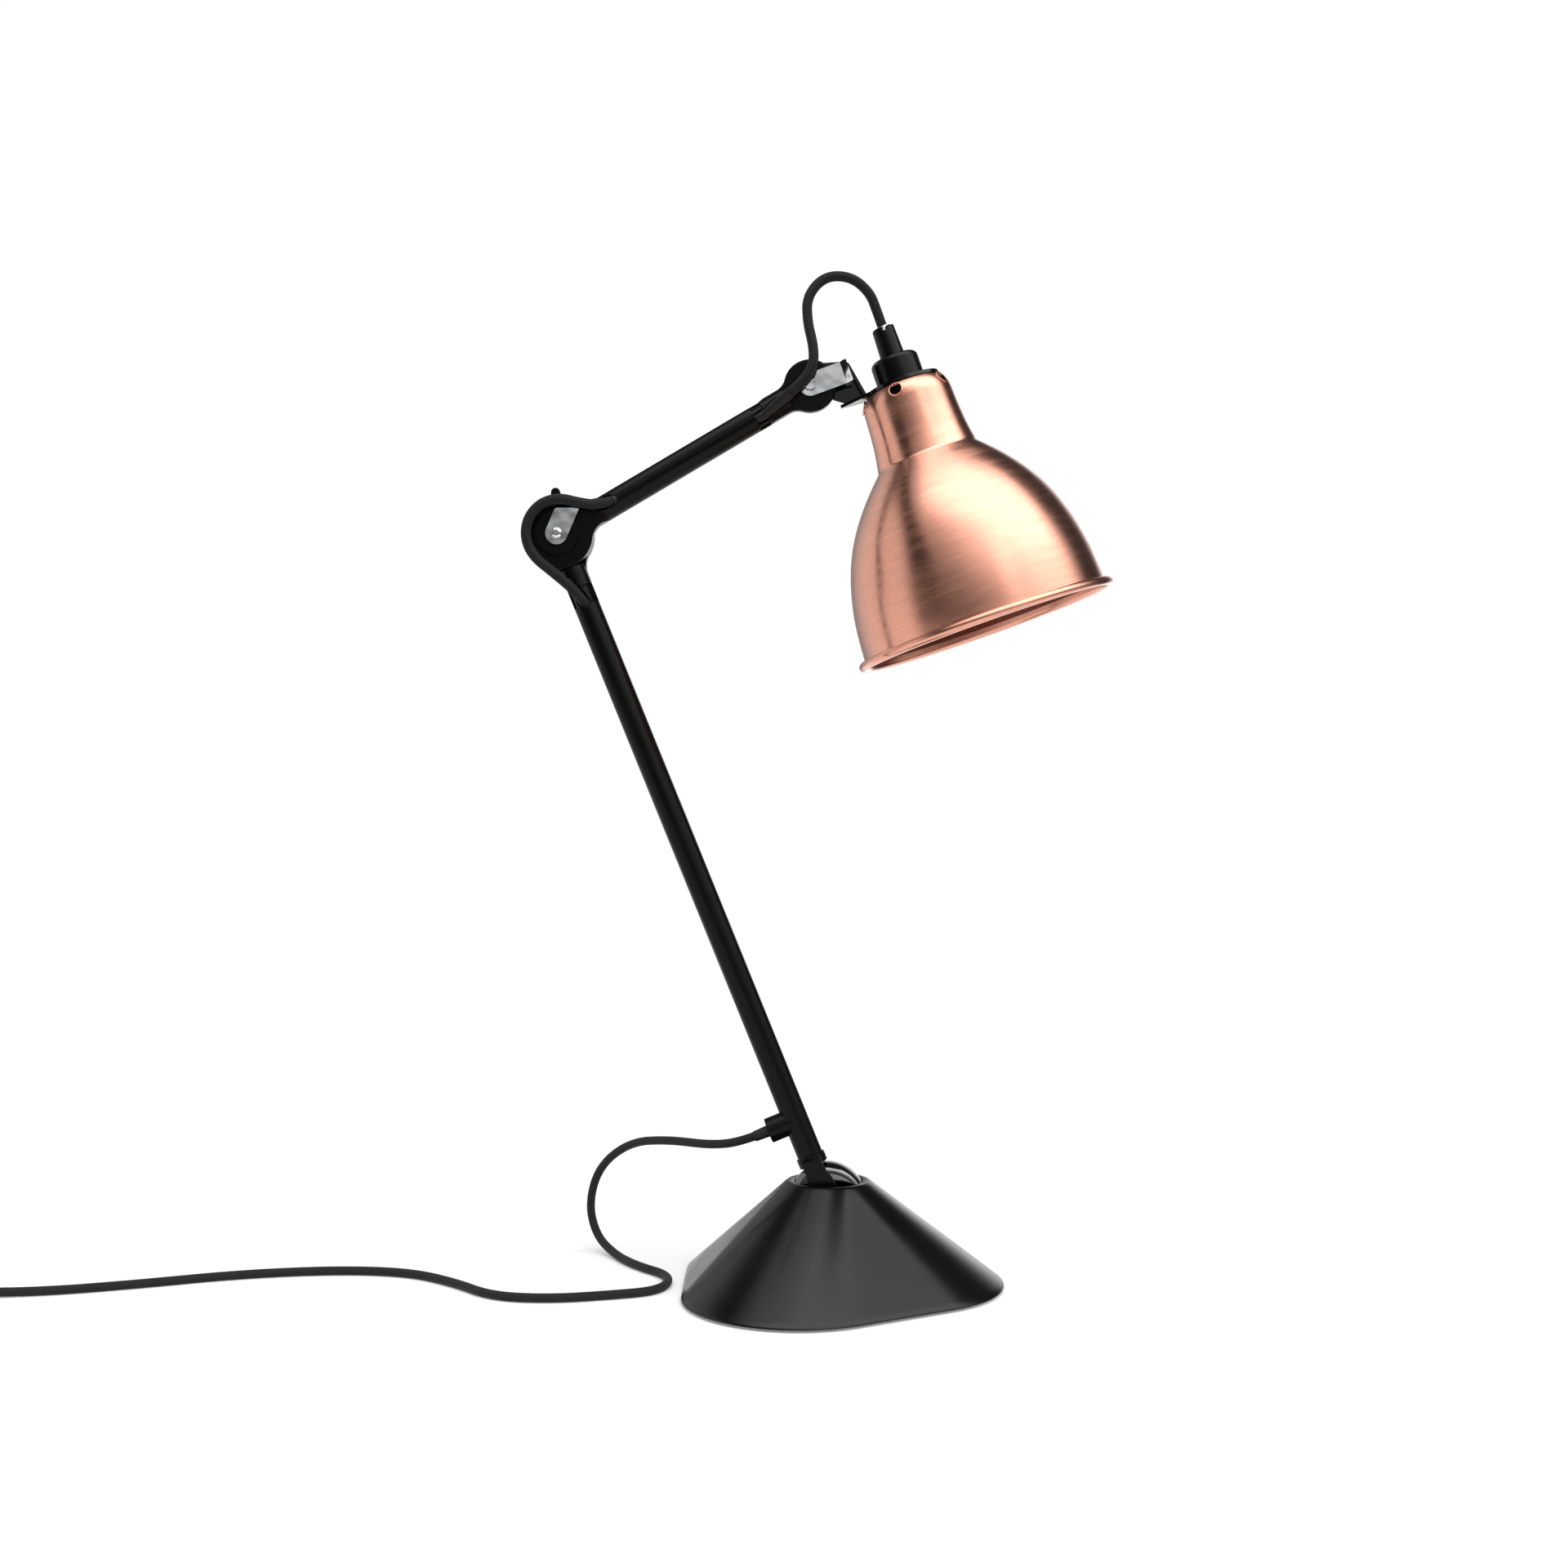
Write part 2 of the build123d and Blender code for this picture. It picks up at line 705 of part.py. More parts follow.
elbow_lever_side = Plane(origin=elbow, x_dir=tilted(elbow_lever_angle), z_dir=viewer)
head_lever_side = Plane(origin=head, x_dir=tilted(head_lever_angle), z_dir=viewer)
elbow_lever_level = elbow_disc_outer + boss_height + boss_rim_height + turning_gap
elbow_screw_level = elbow_lever_level + lever_thickness
head_lever_level = head_disc_outer + turning_gap
head_screw_level = head_lever_level + lever_thickness

with BuildPart() as elbow_lever:
    add(lever_plate(elbow_lever_side, elbow_lever_length, elbow_lever_level, 0, 0))
    with BuildSketch(Plane(origin=elbow + up * elbow_lever_top, z_dir=up)):
        Rectangle(4 * elbow_lever_length, 4 * elbow_lever_length)
    extrude(amount=elbow_lever_length, mode=Mode.SUBTRACT)
    top_corners = elbow_lever.edges().filter_by(Axis.Y).group_by(Axis.Z)[-1]
    fillet(top_corners.sort_by(Axis.X)[0], lever_corner_round)
    add(cross_rod(elbow, bolt_radius, 2 * elbow_screw_level, 0), mode=Mode.SUBTRACT)
finish(elbow_lever.part, "elbow_lever")

rear_nut_level = elbow_disc_outer + turning_gap
elbow_bolt_end = rear_nut_level + rear_lever_thickness + rear_nut_thickness
with BuildPart() as elbow_bolt:
    add(cross_rod(elbow, bolt_radius, elbow_screw_level, elbow_bolt_end))
    with BuildSketch(elbow_lever_side.offset(elbow_screw_level)):
        Circle(screw_head_radius)
    extrude(amount=screw_head_height)
    fillet(elbow_bolt.edges().filter_by(GeomType.CIRCLE).sort_by(Axis.Y)[0], screw_head_round)
finish(elbow_bolt.part, "elbow_bolt")

rear_side = Plane(origin=elbow, x_dir=tilted(rear_lever_angle), z_dir=viewer)
with BuildPart() as elbow_rear_lever:
    with BuildSketch(rear_side.offset(-rear_nut_level - rear_lever_thickness)):
        with BuildLine():
            Polyline(
                (0, rear_lever_root_radius),
                (rear_lever_length - rear_lever_tip_radius, rear_lever_tip_radius),
                (rear_lever_length - rear_lever_tip_radius, -rear_lever_tip_radius),
                (0, -rear_lever_root_radius),
                close=True,
            )
        make_face()
        Circle(rear_lever_root_radius)
        with Locations((rear_lever_length - rear_lever_tip_radius, 0)):
            Circle(rear_lever_tip_radius)
        Circle(bolt_radius, mode=Mode.SUBTRACT)
    extrude(amount=rear_lever_thickness)
finish(elbow_rear_lever.part, "elbow_rear_lever")

# Pressed bracket: a rear plate round the head joint, a wall turned towards the viewer, a foot and a ring
carrier_rise = carrier_top - shade_drop
bracket_back = head_disc_inner + turning_gap
wall_foot = (bracket_wall_foot, carrier_rise)

with BuildPart() as shade_bracket:
    with BuildSketch(head_side.offset(-bracket_back - bracket_thickness)):
        Circle(bracket_eye_radius)
        with BuildLine():
            Polyline(
                (-bracket_blend, bracket_eye_radius - turning_gap),
                bracket_shoulder,
                bracket_corner,
                bracket_wall_top,
                wall_foot,
                (bracket_tail, carrier_rise),
                bracket_waist,
                (-bracket_blend, -bracket_blend),
                close=True,
            )
        make_face()
    extrude(amount=bracket_thickness)
    with BuildSketch(head_side.offset(-bracket_back - bracket_thickness)):
        with BuildLine():
            Polyline(
                bracket_corner,
                bracket_wall_top,
                wall_foot,
                (bracket_wall_foot - bracket_thickness, carrier_rise),
                (bracket_wall_top[0] - bracket_thickness, bracket_wall_top[1]),
                (bracket_corner[0] - bracket_thickness, bracket_corner[1] - bracket_thickness),
                close=True,
            )
        make_face()
    extrude(amount=bracket_back + bracket_thickness + head_disc_outer)
    with BuildSketch(Plane(origin=head + head_up * carrier_rise, x_dir=head_across, z_dir=head_up * -1)):
        with BuildLine():
            Polyline(
                (bracket_tail_back, -bracket_back),
                (bracket_tail_back, -bracket_back - bracket_thickness),
                (shade_offset - carrier_radius / 2, -carrier_radius * 0.6),
                (shade_offset - carrier_radius / 2, carrier_radius * 0.6),
                (bracket_foot_front, head_disc_outer),
                close=True,
            )
        make_face()
        with Locations((shade_offset, 0)):
            Circle(carrier_radius)
            Circle(shade_hole_radius, mode=Mode.SUBTRACT)
    extrude(amount=bracket_thickness)
    add(cross_rod(head, bolt_radius, tube_radius, tube_radius), mode=Mode.SUBTRACT)
finish(shade_bracket.part, "shade_bracket")

with BuildPart() as head_washer:
    with BuildSketch(head_side.offset(-head_disc_inner)):
        Circle(head_washer_radius)
        Circle(bolt_radius + turning_gap, mode=Mode.SUBTRACT)
    extrude(amount=head_washer_thickness - turning_gap)
finish(head_washer.part, "head_washer")

with BuildPart() as head_lever:
    tab = (head_lever_tab_run, head_lever_tab)
    add(lever_plate(head_lever_side, head_lever_length, head_lever_level, *tab))
    add(cross_rod(head, bolt_radius, 2 * head_screw_level, 0), mode=Mode.SUBTRACT)
finish(head_lever.part, "head_lever")

head_nut_level = bracket_back + bracket_thickness + turning_gap
with BuildPart() as head_bolt:
    add(cross_rod(head, bolt_radius - turning_gap, head_lever_level, head_nut_level + rear_nut_thickness))
    add(cross_rod(head, bolt_radius, head_screw_level, 0))
    with BuildSketch(head_lever_side.offset(head_screw_level)):
        Circle(head_screw_radius)
        with PolarLocations(head_screw_radius, head_screw_notches):
            Circle(head_notch_radius, mode=Mode.SUBTRACT)
    extrude(amount=head_screw_height)
finish(head_bolt.part, "head_bolt")


def nut(side):
    """A hexagonal nut that stands on a side plane, with a bore for the bolt."""
    with BuildPart() as hexagon:
        with BuildSketch(side):
            RegularPolygon(radius=rear_nut_across_flats / 2, side_count=6, major_radius=False)
            Circle(bolt_radius, mode=Mode.SUBTRACT)
        extrude(amount=-rear_nut_thickness)
    return hexagon.part


with BuildPart() as elbow_nut:
    add(nut(rear_side.offset(-rear_nut_level - rear_lever_thickness)))
finish(elbow_nut.part, "elbow_nut")

with BuildPart() as head_nut:
    add(nut(head_side.offset(-head_nut_level)))
finish(head_nut.part, "head_nut")

# Shade: a spun bell with a rolled rim and round vents in its shoulder
top_edge = shade_neck_radius - shade_top_round
waist_height = shade_height - shade_neck_length
neck_height = shade_height - shade_shoulder
closing = shade_rim_radius - shade_waist_radius
bell_points = [(shade_rim_radius - closing * inward, waist_height * rise) for rise, inward in bell_form]
with BuildPart() as shade:
    with BuildSketch(shade_side):
        with BuildLine():
            Spline((shade_rim_radius, 0), *bell_points, (shade_waist_radius, waist_height))
            Spline(
                (shade_waist_radius, waist_height),
                (shade_neck_radius + shade_neck_flare, waist_height + shade_shoulder),
                (shade_neck_radius, neck_height),
            )
            EllipticalCenterArc(
                (top_edge, neck_height),
                shade_top_round,
                shade_shoulder,
                start_angle=0,
                arc_size=90,
            )
            Polyline((top_edge, shade_height), (0, shade_height), (0, 0), (shade_rim_radius, 0))
        make_face()
    revolve(axis=shade_axis)
    offset(amount=-shade_wall, openings=shade.faces().sort_by(shade_axis)[0])
    with BuildSketch(shade_side):
        with Locations((shade_rim_radius + bead_radius - shade_wall, bead_radius / 2)):
            Circle(bead_radius)
    revolve(axis=shade_axis)
    hole_start = rim_centre + head_up * neck_height
    hole_end = rim_centre + head_up * cap_top
    add(rod(hole_start, hole_end, shade_hole_radius), mode=Mode.SUBTRACT)
    for k in range(vent_count):
        turn = math.radians(vent_first_angle + 360 * k / vent_count)
        out = head_across * math.cos(turn) + Vector(0, math.sin(turn), 0)
        rise = math.radians(vent_rise)
        bore_way = out * math.cos(rise) + head_up * math.sin(rise)
        vent_ring = rim_centre + head_up * (shade_height - vent_below_top)
        middle = vent_ring + out * (shade_neck_radius - shade_top_round / 4)
        add(rod(middle - bore_way * vent_cut, middle + bore_way * vent_cut, vent_radius), mode=Mode.SUBTRACT)
finish(shade.part, "shade")

# Lamp holder: cap with a castled cord neck, collet, threaded body, clamp ring, lamp
shade_across = Plane(origin=rim_centre, x_dir=head_across, z_dir=head_up)
collet_radius = link_cord_radius + turning_gap + collet_wall
with BuildPart() as holder_cap:
    with BuildSketch(shade_across.offset(carrier_top)):
        Circle(cap_radius)
    extrude(amount=cap_top - carrier_top)
    fillet(holder_cap.faces().sort_by(shade_axis)[-1].edges(), cap_round)
    with BuildSketch(shade_across.offset(cap_top)):
        Circle(cap_neck_base_radius)
    with BuildSketch(shade_across.offset(cap_neck_top)):
        Circle(cap_neck_top_radius)
    loft()
    with BuildSketch(shade_across.offset(carrier_top)):
        Circle(holder_radius + turning_gap)
    extrude(amount=cap_top - cap_wall - carrier_top, mode=Mode.SUBTRACT)
    add(rod(rim_centre, collet_end, link_cord_radius + channel_gap), mode=Mode.SUBTRACT)
    with BuildSketch(shade_across.offset(cap_neck_top - collet_depth)):
        Circle(collet_radius)
    extrude(amount=2 * collet_depth, mode=Mode.SUBTRACT)
    with BuildSketch(shade_across.offset(cap_neck_top - castle_depth)):
        with PolarLocations(cap_neck_top_radius, castle_count):
            Rectangle(cap_neck_top_radius, castle_width)
    extrude(amount=2 * castle_depth, mode=Mode.SUBTRACT)
finish(holder_cap.part, "holder_cap")

with BuildPart() as cord_collet:
    with BuildSketch(shade_across.offset(cap_neck_top - collet_depth)):
        Circle(collet_radius)
        Circle(link_cord_radius + turning_gap, mode=Mode.SUBTRACT)
    extrude(amount=collet_depth + collet_proud)
    with BuildSketch(shade_across.offset(cap_neck_top - collet_depth / 2)):
        with PolarLocations(collet_radius, castle_count, start_angle=45):
            Rectangle(2 * collet_wall, collet_slit)
    extrude(amount=collet_depth, mode=Mode.SUBTRACT)
finish(cord_collet.part, "cord_collet")

holder_top = shade_height + holder_above_shade
holder_bottom = holder_top - holder_length
with BuildPart() as lamp_holder:
    with BuildSketch(shade_across.offset(holder_bottom)):
        Circle(holder_radius)
    extrude(amount=holder_length)
    with BuildSketch(shade_across.offset(holder_bottom)):
        Circle(lamp_cap_radius + turning_gap)
    extrude(amount=lamp_cap_depth, mode=Mode.SUBTRACT)
finish(lamp_holder.part, "lamp_holder")

ring_top = shade_height - shade_wall
with BuildPart() as shade_ring:
    with BuildSketch(shade_across.offset(ring_top - ring_thickness)):
        Circle(ring_radius - ring_lip)
    extrude(amount=ring_thickness)
    with BuildSketch(shade_across.offset(ring_top - ring_thickness)):
        Circle(ring_radius)
    extrude(amount=ring_thickness / 2)
    with BuildSketch(shade_across.offset(ring_top - ring_thickness)):
        Circle(holder_radius + turning_gap)
    extrude(amount=ring_thickness, mode=Mode.SUBTRACT)
finish(shade_ring.part, "shade_ring")

lamp_cap_top = holder_bottom + lamp_cap_depth
lamp_cap_bottom = lamp_cap_top - lamp_cap_length
lamp_glass_height = lamp_cap_bottom - math.sqrt(lamp_glass_radius**2 - lamp_neck_radius**2)
with BuildPart() as lamp_cap:
    with BuildSketch(shade_across.offset(lamp_cap_bottom)):
        Circle(lamp_cap_radius)
    extrude(amount=lamp_cap_length - lamp_cap_taper)
    with BuildSketch(shade_across.offset(lamp_cap_top - lamp_cap_taper)):
        Circle(lamp_cap_radius - lamp_cap_shoulder)
    with BuildSketch(shade_across.offset(lamp_cap_top)):
        Circle(lamp_cap_radius / 2)
    loft()
finish(lamp_cap.part, "lamp_cap")

with BuildPart() as lamp_glass:
    with Locations(rim_centre + head_up * lamp_glass_height):
        Sphere(lamp_glass_radius)
    with BuildSketch(shade_across.offset(lamp_glass_height)):
        Circle(lamp_neck_radius)
    extrude(amount=lamp_cap_bottom - lamp_glass_height)
    with BuildSketch(shade_across.offset(lamp_cap_bottom)):
        Circle(2 * lamp_glass_radius)
    extrude(amount=lamp_glass_radius, mode=Mode.SUBTRACT)
finish(lamp_glass.part, "lamp_glass")


# Cords: two short ones over the joints, and the ones inside the tubes and the lamp holder
with BuildPart() as elbow_cord:
    add(cord_tube(elbow_points, link_cord_radius, name="elbow cord"))
finish(elbow_cord.part, "elbow_cord")

with BuildPart() as head_cord:
    add(cord_tube(head_points, link_cord_radius, name="head cord"))
finish(head_cord.part, "head_cord")

with BuildPart() as stem_inner_cord:
    inner_points = [gland_end, gland_foot, stem_bend, stem_sleeve_in]
    inner_bends = [gland_cord_bend, stem_cord_bend]
    add(cord_tube(inner_points, mains_cord_radius, inner_bends, name="cord in the stem"))
    add(stem_cord_sleeve.part, mode=Mode.SUBTRACT)
finish(stem_inner_cord.part, "stem_inner_cord")

with BuildPart() as arm_inner_cord:
    inner_points = [arm_sleeve_in, arm_bend_low, arm_bend_high, head_sleeve_in]
    add(cord_tube(inner_points, link_cord_radius, name="cord in the arm"))
    add(arm_cord_sleeves.part, mode=Mode.SUBTRACT)
finish(arm_inner_cord.part, "arm_inner_cord")

with BuildPart() as holder_inner_cord:
    add(rod(rim_centre + head_up * holder_top, collet_end, link_cord_radius))
finish(holder_inner_cord.part, "holder_inner_cord")

# Spare cord: two layers of loops, in on the table and out again on top
coil_outer_radius = coil_inner_radius + coil_pitch * coil_layer_turns
coil_turns = 2 * coil_layer_turns + climb_turns
coil_floor = floor_cord + tie_thickness + tie_gap


def coil_point(turn):
    """A point on the coil's centre line, after some turns clockwise from the front."""
    climb = min(max((turn - coil_layer_turns) / climb_turns, 0), 1)
    if turn < coil_layer_turns:
        radius = coil_inner_radius + coil_pitch * (coil_layer_turns - turn)
    else:
        radius = coil_inner_radius + coil_pitch * max(turn - coil_layer_turns - climb_turns, 0)
    height = coil_floor + coil_rise * climb * climb * (3 - 2 * climb)
    angle = math.radians(-90 - 360 * turn)
    middle = Vector(*coil_centre, height)
    return middle + Vector(math.cos(angle), math.sin(angle), 0) * radius


def coil_way(turn):
    """The direction of the coil's centre line."""
    step = 0.001
    start = max(turn - step, 0)
    end = min(turn + step, coil_turns)
    return (coil_point(end) - coil_point(start)).normalized()


def biarc(start, start_way, end, end_way):
    """Two arcs that leave one point and reach another in the given directions."""
    reach = end - start
    ways = start_way + end_way
    spread = 2 * (1 - start_way.dot(end_way))
    along = reach.dot(ways)
    handle = (math.sqrt(along**2 + spread * reach.dot(reach)) - along) / spread
    first = start + start_way * handle
    second = end - end_way * handle
    middle = (first + second) * 0.5
    TangentArc(start, middle, tangent=start_way)
    TangentArc(middle, end, tangent=second - first)


lead_way = coil_way(0)
tail_way = coil_way(coil_turns)
coil_start = coil_point(0) - lead_way * 2 * mains_cord_radius
coil_end = coil_point(coil_turns) + tail_way * coil_tail
quarters = round(4 * coil_turns)

with BuildPart() as mains_cord_coil:
    with BuildLine() as coil_line:
        Line(coil_start, coil_point(0))
        for k in range(quarters):
            here = coil_turns * k / quarters
            there = coil_turns * (k + 1) / quarters
            biarc(coil_point(here), coil_way(here), coil_point(there), coil_way(there))
        Line(coil_point(coil_turns), coil_end)
    with BuildSketch(Plane(origin=coil_start, z_dir=lead_way)):
        Circle(mains_cord_radius)
    sweep(path=coil_line.line)
coil_length = coil_line.wire().length
coil_ratio = mains_cord_coil.part.volume / (math.pi * mains_cord_radius**2 * coil_length)
finish(mains_cord_coil.part, "mains_cord_coil")

coil_samples = [coil_point(0.01 * k) for k in range(round(100 * coil_turns))]
least_gap = min(
    (a - b).length - 2 * mains_cord_radius
    for k, a in enumerate(coil_samples)
    for b in coil_samples[k + 40 :]
)
print(f"coil length {coil_length:.1f}, volume ratio {coil_ratio:.4f}, least gap to itself {least_gap:.2f}")

# Mains cord on the table: from the gland to the coil
mains_points = [
    gland_end,
    gland_end + gland_way * gland_straight,
    *[Vector(*point) for point in mains_route],
    coil_start - lead_way * coil_lead,
    coil_start,
]
with BuildPart() as mains_cord:
    add(cord_tube(mains_points, mains_cord_radius, name="mains cord"))
finish(mains_cord.part, "mains_cord")

# Tie round the coil, and the plug beside it
tie_out = Vector(math.cos(math.radians(tie_angle)), math.sin(math.radians(tie_angle)), 0)
tie_inner = coil_inner_radius - mains_cord_radius - tie_gap
tie_outer = coil_outer_radius + mains_cord_radius + tie_gap
tie_bottom = coil_floor - mains_cord_radius - tie_gap
tie_top = coil_floor + coil_rise + mains_cord_radius + tie_gap
tie_middle = Vector(*coil_centre, 0) + tie_out * (tie_inner + tie_outer) / 2 + up * (tie_bottom + tie_top) / 2
tie_plane = Plane(origin=tie_middle, x_dir=tie_out, z_dir=tie_out.cross(up))
with BuildPart() as cord_tie:
    with BuildSketch(tie_plane):
        RectangleRounded(
            tie_outer - tie_inner + 2 * tie_thickness,
            tie_top - tie_bottom + 2 * tie_thickness,
            tie_corner_round + tie_thickness,
        )
        tie_hole = (tie_outer - tie_inner, tie_top - tie_bottom)
        RectangleRounded(*tie_hole, tie_corner_round, mode=Mode.SUBTRACT)
    extrude(amount=tie_width / 2, both=True)
finish(cord_tie.part, "cord_tie")

plug_thickness = 2 * (coil_end.Z - cord_lift)
plug_plane = Plane(origin=coil_end, x_dir=up, z_dir=tail_way)
with BuildPart() as plug_body:
    with BuildSketch(plug_plane):
        Circle(plug_nose_radius)
    with BuildSketch(plug_plane.offset(plug_nose)):
        Circle(plug_nose_root_radius)
    loft()
    with BuildSketch(plug_plane.offset(plug_nose)):
        shoulder_thickness = plug_thickness - 2 * plug_shoulder_inset
        RectangleRounded(shoulder_thickness, plug_shoulder_width, plug_edge_round)
    with BuildSketch(plug_plane.offset(plug_nose + plug_shoulder_length)):
        RectangleRounded(plug_thickness, plug_width, plug_edge_round)
    loft()
    with BuildSketch(plug_plane.offset(plug_nose + plug_shoulder_length)):
        RectangleRounded(plug_thickness, plug_width, plug_edge_round)
    extrude(amount=plug_length - plug_shoulder_length)
finish(plug_body.part, "plug_body")

with BuildPart() as plug_pins:
    with BuildSketch(plug_plane.offset(plug_nose + plug_length)):
        with GridLocations(0, plug_pin_spacing, 1, 2):
            Circle(plug_pin_radius)
    extrude(amount=plug_pin_length)
    pin_ends = plug_pins.edges().filter_by(GeomType.CIRCLE).group_by(Axis(coil_end, tail_way))[-1]
    fillet(pin_ends, plug_pin_round)
finish(plug_pins.part, "plug_pins")
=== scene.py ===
# %% [markdown]
# # A jointed desk lamp with a spun copper shade
# The lamp stands on a heavy black base. A dark ball in the base carries the stem, the stem carries a
# short upper arm, and the arm carries the shade. Black textile cords pass the two upper joints, and a
# longer one runs from the stem over the table.
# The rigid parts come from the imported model, so that they are where the joints need them. This file
# gives them their finishes, and makes the shade, the base skin, the ball and the cords as surfaces.

# %% Tools
import json
import math

import bpy
import numpy as np
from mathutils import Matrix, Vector


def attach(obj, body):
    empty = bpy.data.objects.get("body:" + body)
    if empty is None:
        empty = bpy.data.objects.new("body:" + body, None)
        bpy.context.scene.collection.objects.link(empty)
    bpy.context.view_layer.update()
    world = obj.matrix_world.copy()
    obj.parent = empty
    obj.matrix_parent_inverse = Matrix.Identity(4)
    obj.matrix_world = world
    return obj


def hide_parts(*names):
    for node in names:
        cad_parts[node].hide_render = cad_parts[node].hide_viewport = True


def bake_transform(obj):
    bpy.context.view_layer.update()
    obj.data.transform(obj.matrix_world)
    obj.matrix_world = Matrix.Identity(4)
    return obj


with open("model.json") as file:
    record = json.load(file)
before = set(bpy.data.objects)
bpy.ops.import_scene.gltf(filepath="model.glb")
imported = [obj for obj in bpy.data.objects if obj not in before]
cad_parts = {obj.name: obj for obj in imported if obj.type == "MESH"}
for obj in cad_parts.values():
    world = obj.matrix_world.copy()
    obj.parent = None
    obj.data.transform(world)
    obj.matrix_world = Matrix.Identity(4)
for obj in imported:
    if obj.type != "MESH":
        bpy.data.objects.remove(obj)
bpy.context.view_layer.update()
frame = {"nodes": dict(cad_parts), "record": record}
print("pieces of the model:", len(frame["nodes"]))

# %% [markdown]
# The model stands in one frame: the origin is on the table under the ball, X runs to the side that the
# shade reaches to, Y away from the camera, and Z up. Lengths below are written in millimetres, as a
# maker would, and become metres when a mesh is put into the scene. Both arms lie in the plane Y = 0,
# so a direction there is one angle above X.

# %% The joints' centres
MM = 0.001
stem_lean, arm_rise, shade_lean = 22.1, 30.6, 19.1
ball_height, stem_reach, arm_reach = 44.8, 374.4, 152.6
rim_across, rim_below = 46.0, 148.7


def leaning(angle):
    """The unit vector at an angle in degrees above X, in the plane Y = 0: (cosine, 0, sine)."""
    return np.array([math.cos(math.radians(angle)), 0.0, math.sin(math.radians(angle))])


def unit(vector):
    """The vector divided by its length."""
    return vector / np.linalg.norm(vector)


ball_centre = np.array([0.0, 0.0, ball_height])
stem_way = leaning(90 + stem_lean)
arm_way = leaning(arm_rise)
shade_across = leaning(shade_lean)
shade_up = leaning(90 + shade_lean)
elbow = ball_centre + stem_way * stem_reach
head = elbow + arm_way * arm_reach
rim_centre = head + shade_across * rim_across - shade_up * rim_below
print("elbow", elbow.round(1), "head joint", head.round(1), "centre of the rim", rim_centre.round(1))

# %% [markdown]
# ## Camera
# The picture was taken level, from about a metre away and at half the lamp's height. The horizon lies a
# little under the middle of the picture, so the lens is shifted and the camera isn't tilted, which keeps
# upright edges upright.

# %% Camera
sensor_width = 36.0
picture_size, focal_length, horizon_row = 1920, 2226, 985
camera_data = bpy.data.cameras.new("camera")
camera_data.sensor_width = sensor_width
camera_data.lens = sensor_width * focal_length / picture_size
camera_data.shift_y = (horizon_row - picture_size / 2) / picture_size
camera_data.clip_start = 0.01
camera_data.clip_end = 50.0
camera = bpy.data.objects.new("camera", camera_data)
camera.location = (-0.0231, -0.950, 0.2513)
camera.rotation_euler = (math.radians(90), 0.0, 0.0)
bpy.context.scene.collection.objects.link(camera)
bpy.context.scene.camera = camera
print("lens", round(camera_data.lens, 2), "mm")

# %% [markdown]
# ## Surfaces from arrays
# Every new piece is a grid of points: rings of columns, one row after the other. A grid needs only one
# rule for its faces, so the shape is all in the formula for its points.


# %% Meshes from grids
def grid_faces(rows, columns, close_rows=False):
    """Four-sided faces between neighbours on a grid of points. The last column joins the first, and with
    close_rows the last row joins the first too."""
    r = np.arange(rows if close_rows else rows - 1)
    r, c = np.meshgrid(r, np.arange(columns), indexing="ij")
    r_next = (r + 1) % rows
    c_next = (c + 1) % columns
    corners = [r * columns + c, r * columns + c_next, r_next * columns + c_next, r_next * columns + c]
    return np.stack(corners, -1).reshape(-1, 4)


def put_mesh(name, points_mm, faces, material, uv=None):
    """A smooth mesh object at the origin, from points in millimetres and lists of corners."""
    mesh = bpy.data.meshes.new(name)
    mesh.from_pydata((np.asarray(points_mm) * MM).tolist(), [], [list(map(int, f)) for f in faces])
    mesh.update()
    mesh.polygons.foreach_set("use_smooth", np.ones(len(mesh.polygons), dtype=bool))
    if uv is not None:
        corner_points = np.zeros(len(mesh.loops), dtype=np.int32)
        mesh.loops.foreach_get("vertex_index", corner_points)
        layer = mesh.uv_layers.new(name="along")
        layer.data.foreach_set("uv", uv[corner_points].astype(np.float32).ravel())
    mesh.materials.append(material)
    piece = bpy.data.objects.new(name, mesh)
    bpy.context.scene.collection.objects.link(piece)
    print(name, len(mesh.vertices), "points", len(mesh.polygons), "faces")
    return piece


# %% [markdown]
# ## Finishes
# A finish is a small net of nodes round one Principled shader. The numbers that are the same all over a
# surface are written on the shader itself. What changes over the surface, such as the grain of a powder
# coat, is worked out from Object coordinates, so it stays with the piece when the lamp moves.


# %% Helpers for finishes
def new_finish(name, colour, roughness, metal=0.0, specular=0.5):
    """A material with one Principled shader, and its nodes and links at hand."""
    finish = bpy.data.materials.new(name)
    finish.use_nodes = True
    nodes = finish.node_tree.nodes
    shader = nodes["Principled BSDF"]
    shader.inputs["Base Color"].default_value = (*colour, 1.0)
    shader.inputs["Roughness"].default_value = roughness
    shader.inputs["Metallic"].default_value = metal
    shader.inputs["Specular IOR Level"].default_value = specular
    return finish, nodes, finish.node_tree.links, shader


def add_noise(nodes, links, place, scale, detail=3.0, stretch=(1.0, 1.0, 1.0)):
    """Noise at a place given by a socket; a large stretch makes the noise fine in that direction."""
    mapping = nodes.new("ShaderNodeMapping")
    mapping.inputs["Scale"].default_value = stretch
    noise = nodes.new("ShaderNodeTexNoise")
    noise.inputs["Scale"].default_value = scale
    noise.inputs["Detail"].default_value = detail
    links.new(place, mapping.inputs["Vector"])
    links.new(mapping.outputs["Vector"], noise.inputs["Vector"])
    return noise.outputs["Fac"]


